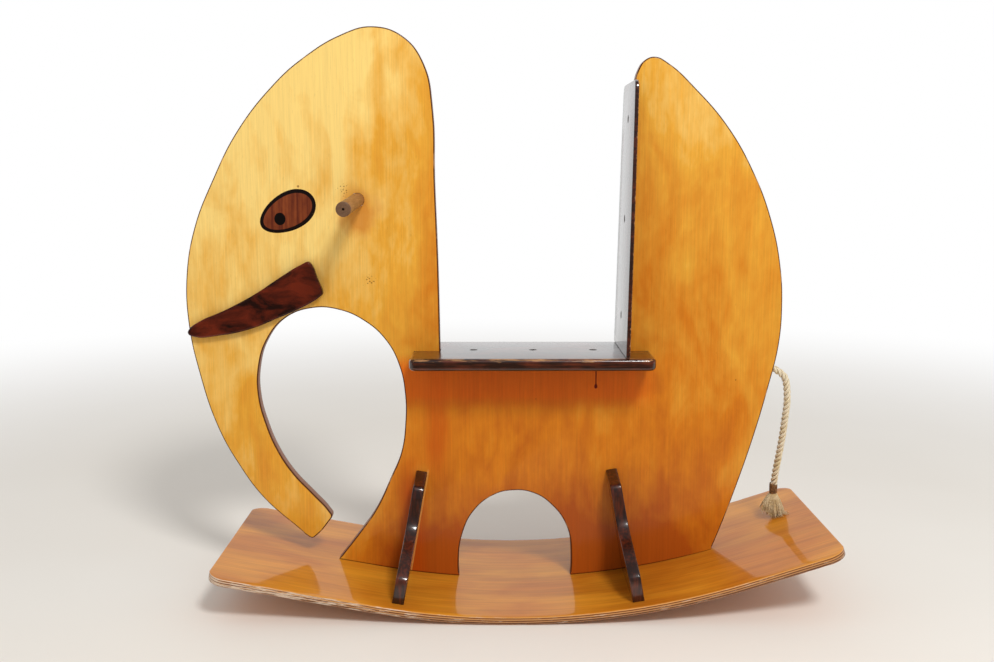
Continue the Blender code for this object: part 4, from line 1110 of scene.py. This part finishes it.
def waxed_twine():
    """Hemp twine, waxed: brown turns of mottled colour with a dull sheen."""
    paint, tree, shader, place = new_material("hemp twine, waxed", {
        "Roughness": 0.65, "Specular IOR Level": 0.3})
    fibre = add(tree, "TexNoise", {"Vector": place, "Scale": 420.0, "Detail": 3.0})
    tone = add(tree, "Mix", {
        "Factor": add(tree, "MapRange", [fibre, 0.36, 0.62]), "A": linear("#503218"),
        "B": linear("#94683C")}, data_type="RGBA")
    bump = add(tree, "Bump", {"Strength": 0.5, "Distance": 0.0003, "Height": fibre})
    add(tree, shader, {"Base Color": tone, "Normal": bump})
    return paint


whipping = new_piece(
    "twine_whipping", twine_points.reshape(-1, 3),
    grid_quads(len(twine_points), WHIPPING_SIDES).tolist(), waxed_twine())
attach(whipping, "root")
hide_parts("tail_whipping")

# Each fibre leaves its place in the rope's end with its lock's lean, more where it lies
# outside, hangs straighter as it goes, and runs on along the base where it meets it
chance = np.random.default_rng(5)
length, lean_x, lean_y = np.repeat(
    [lock[1:] for lock in LOCKS], [lock[0] for lock in LOCKS], axis=0).T
fibre_count = len(length)
angle = chance.uniform(0, 2 * np.pi, fibre_count)
reach = np.sqrt(chance.uniform(0, 1, fibre_count))
offset = reach[:, None] * np.stack([np.cos(angle), np.sin(angle)], -1)
lean = np.stack([lean_x, lean_y], -1) + FIBRE_SPLAY * offset
lean = lean + chance.normal(0, 0.09, (fibre_count, 2))
tilt = np.linalg.norm(lean, axis=1)[:, None]
way = lean / tilt
steps = np.linspace(0, 1, FIBRE_STEPS)[None, :]
length = length[:, None] * chance.uniform(0.74, 1.08, (fibre_count, 1))
leaned = tilt * (1 - 0.5 * steps)
fallen = np.cumsum(np.cos(leaned), axis=1) - np.cos(leaned[:, :1])
moved = np.cumsum(np.sin(leaned), axis=1) - np.sin(leaned[:, :1])
fallen, moved = fallen * length / (FIBRE_STEPS - 1), moved * length / (FIBRE_STEPS - 1)
curl = FIBRE_CURL * steps**1.4 * np.sin(
    2 * np.pi * (steps * 1.3 + chance.uniform(0, 1, (fibre_count, 1))))
plan = rope_end[:2] + BUNDLE_RADIUS * offset[:, None] + moved[..., None] * way[:, None]
plan = plan + curl[..., None] * way[:, None, ::-1] * (1, -1)
rest = base_top(plan[..., 0]) + PILE_LOW + PILE_DEEP * chance.uniform(0, 1, (fibre_count, 1))
height = rope_end[2] + 0.001 - fallen
spare = np.clip(rest - height, 0, None)
plan = plan + 0.5 * spare[..., None] * way[:, None]
fibres = np.concatenate([plan, np.maximum(height, rest)[..., None]], -1)
thick = FIBRE_RADIUS * (1.1 - 0.65 * steps**2) * chance.uniform(0.7, 1.2, (fibre_count, 1))
fringe_points, fringe_faces, fringe_marks = tubes(
    fibres, *round_frame(fibres, np.array((0.23, 0.91, 0.34))), thick, 5, steps * length)
tassel = new_piece(
    "frayed_tassel", fringe_points, fringe_faces,
    sisal("sisal fibre, frayed", "#FAE6BE", "#CEAA70", "#E6C890", 0.1), {"turn": fringe_marks})
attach(tassel, "root")
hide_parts("tail_tassel")


# Studio
# A pale matt floor that runs out to white, a soft lamp high in front and to the right, and a
# sky that is white behind the toy. None of it is part of the toy.
FLOOR_HALF, FLOOR_DROP, FLOOR_LINES = 12.0, 0.0004, 9
LAMP_POWER, LAMP_SIZE, LAMP_FAR = 50.0, 0.65, 3.0
LAMP_TURN, LAMP_CLIMB = math.radians(21.0), math.radians(45.0)
FILL = 0.60  # strength of the sky where it only lights
DIM_SIDE = 0.2  # strength of what a gloss mirrors towards the camera and overhead


def sees_white(tree):
    """The light path, and 1 for a ray from the camera, a mirror or a glass, otherwise 0."""
    rays = add(tree, "LightPath")
    seen = add(tree, "Math", [
        rays.outputs["Is Camera Ray"], rays.outputs["Is Glossy Ray"]], operation="MAXIMUM")
    return rays, add(tree, "Math", [
        seen, rays.outputs["Is Transmission Ray"]], operation="MAXIMUM")


grid = np.linspace(-1, 1, FLOOR_LINES) ** 3 * FLOOR_HALF
floor_x, floor_y = np.meshgrid(grid, grid)
floor_points = np.stack([floor_x, floor_y, np.full_like(floor_x, -FLOOR_DROP)], -1)
floor_paint, tree, shader, place = new_material("painted floor, matt", {
    "Roughness": 0.6, "Specular IOR Level": 0.2})
mottle = add(tree, "TexNoise", {"Vector": place, "Scale": 3.0, "Detail": 2.0})
tone = add(tree, "Mix", {
    "Factor": mottle, "A": linear("#F3EEE6"), "B": linear("#EEE8DF")}, data_type="RGBA")
add(tree, shader, {"Base Color": tone})
reach = add(tree, "VectorMath", [place], operation="LENGTH").outputs["Value"]
far_off = add(tree, "MapRange", [reach, 0.8, 2.6], interpolation_type="SMOOTHSTEP")
rays, seen = sees_white(tree)
white = add(tree, "Emission", {"Color": linear("#FFFFFF"), "Strength": 1.0})
share = add(tree, "Math", [seen, far_off], operation="MULTIPLY")
ground = add(tree, "MixShader", [share, shader, white])
# A gloss mirrors the floor in front of the toy as a dim room
dim = add(tree, "Emission", {"Color": linear("#6E5A44"), "Strength": 1.0})
ahead = add(
    tree, "MapRange", [add(tree, "SeparateXYZ", {"Vector": place}).outputs["Y"], -0.3, -0.8],
    interpolation_type="SMOOTHSTEP")
ahead = add(tree, "Math", [ahead, rays.outputs["Is Glossy Ray"]], operation="MULTIPLY")
ground = add(tree, "MixShader", [ahead, ground, dim])
add(tree, tree.nodes["Material Output"], {"Surface": ground})
floor = new_piece(
    "studio_floor", floor_points.reshape(-1, 3),
    grid_quads(FLOOR_LINES, FLOOR_LINES, closed=False).tolist(), floor_paint)
if floor.data.polygons[0].normal.z < 0:
    floor.data.flip_normals()

lamp = bpy.data.objects.new("key_lamp", bpy.data.lights.new("key_lamp", "AREA"))
lamp.data.energy, lamp.data.size, lamp.data.shape = LAMP_POWER, LAMP_SIZE, "DISK"
lamp.location = (
    LAMP_FAR * math.sin(LAMP_TURN) * math.cos(LAMP_CLIMB),
    -LAMP_FAR * math.cos(LAMP_TURN) * math.cos(LAMP_CLIMB),
    0.3 + LAMP_FAR * math.sin(LAMP_CLIMB),
)
lamp.rotation_euler = (math.radians(90) - LAMP_CLIMB, 0.0, LAMP_TURN)
bpy.context.scene.collection.objects.link(lamp)

# The sky is white to the camera. In a mirror it is white behind the toy, and dimmer overhead
# and towards the camera, as a room is behind a photographer
world = bpy.data.worlds.new("studio")
bpy.context.scene.world = world
world.use_nodes = True
tree = world.node_tree
rays, seen = sees_white(tree)
way = add(tree, "SeparateXYZ", {"Vector": add(tree, "TexCoord").outputs["Generated"]})
mirrored = add(
    tree, "MapRange", [way.outputs[1], -0.1, 0.6, DIM_SIDE, 1.0], interpolation_type="SMOOTHSTEP")
shown = add(tree, "Math", [mirrored, rays.outputs["Is Camera Ray"]], operation="MAXIMUM")
strength = add(tree, "Mix", {"Factor": seen, "A": FILL, "B": shown})
add(tree, tree.nodes["Background"], {"Color": linear("#FFFFFF"), "Strength": strength})
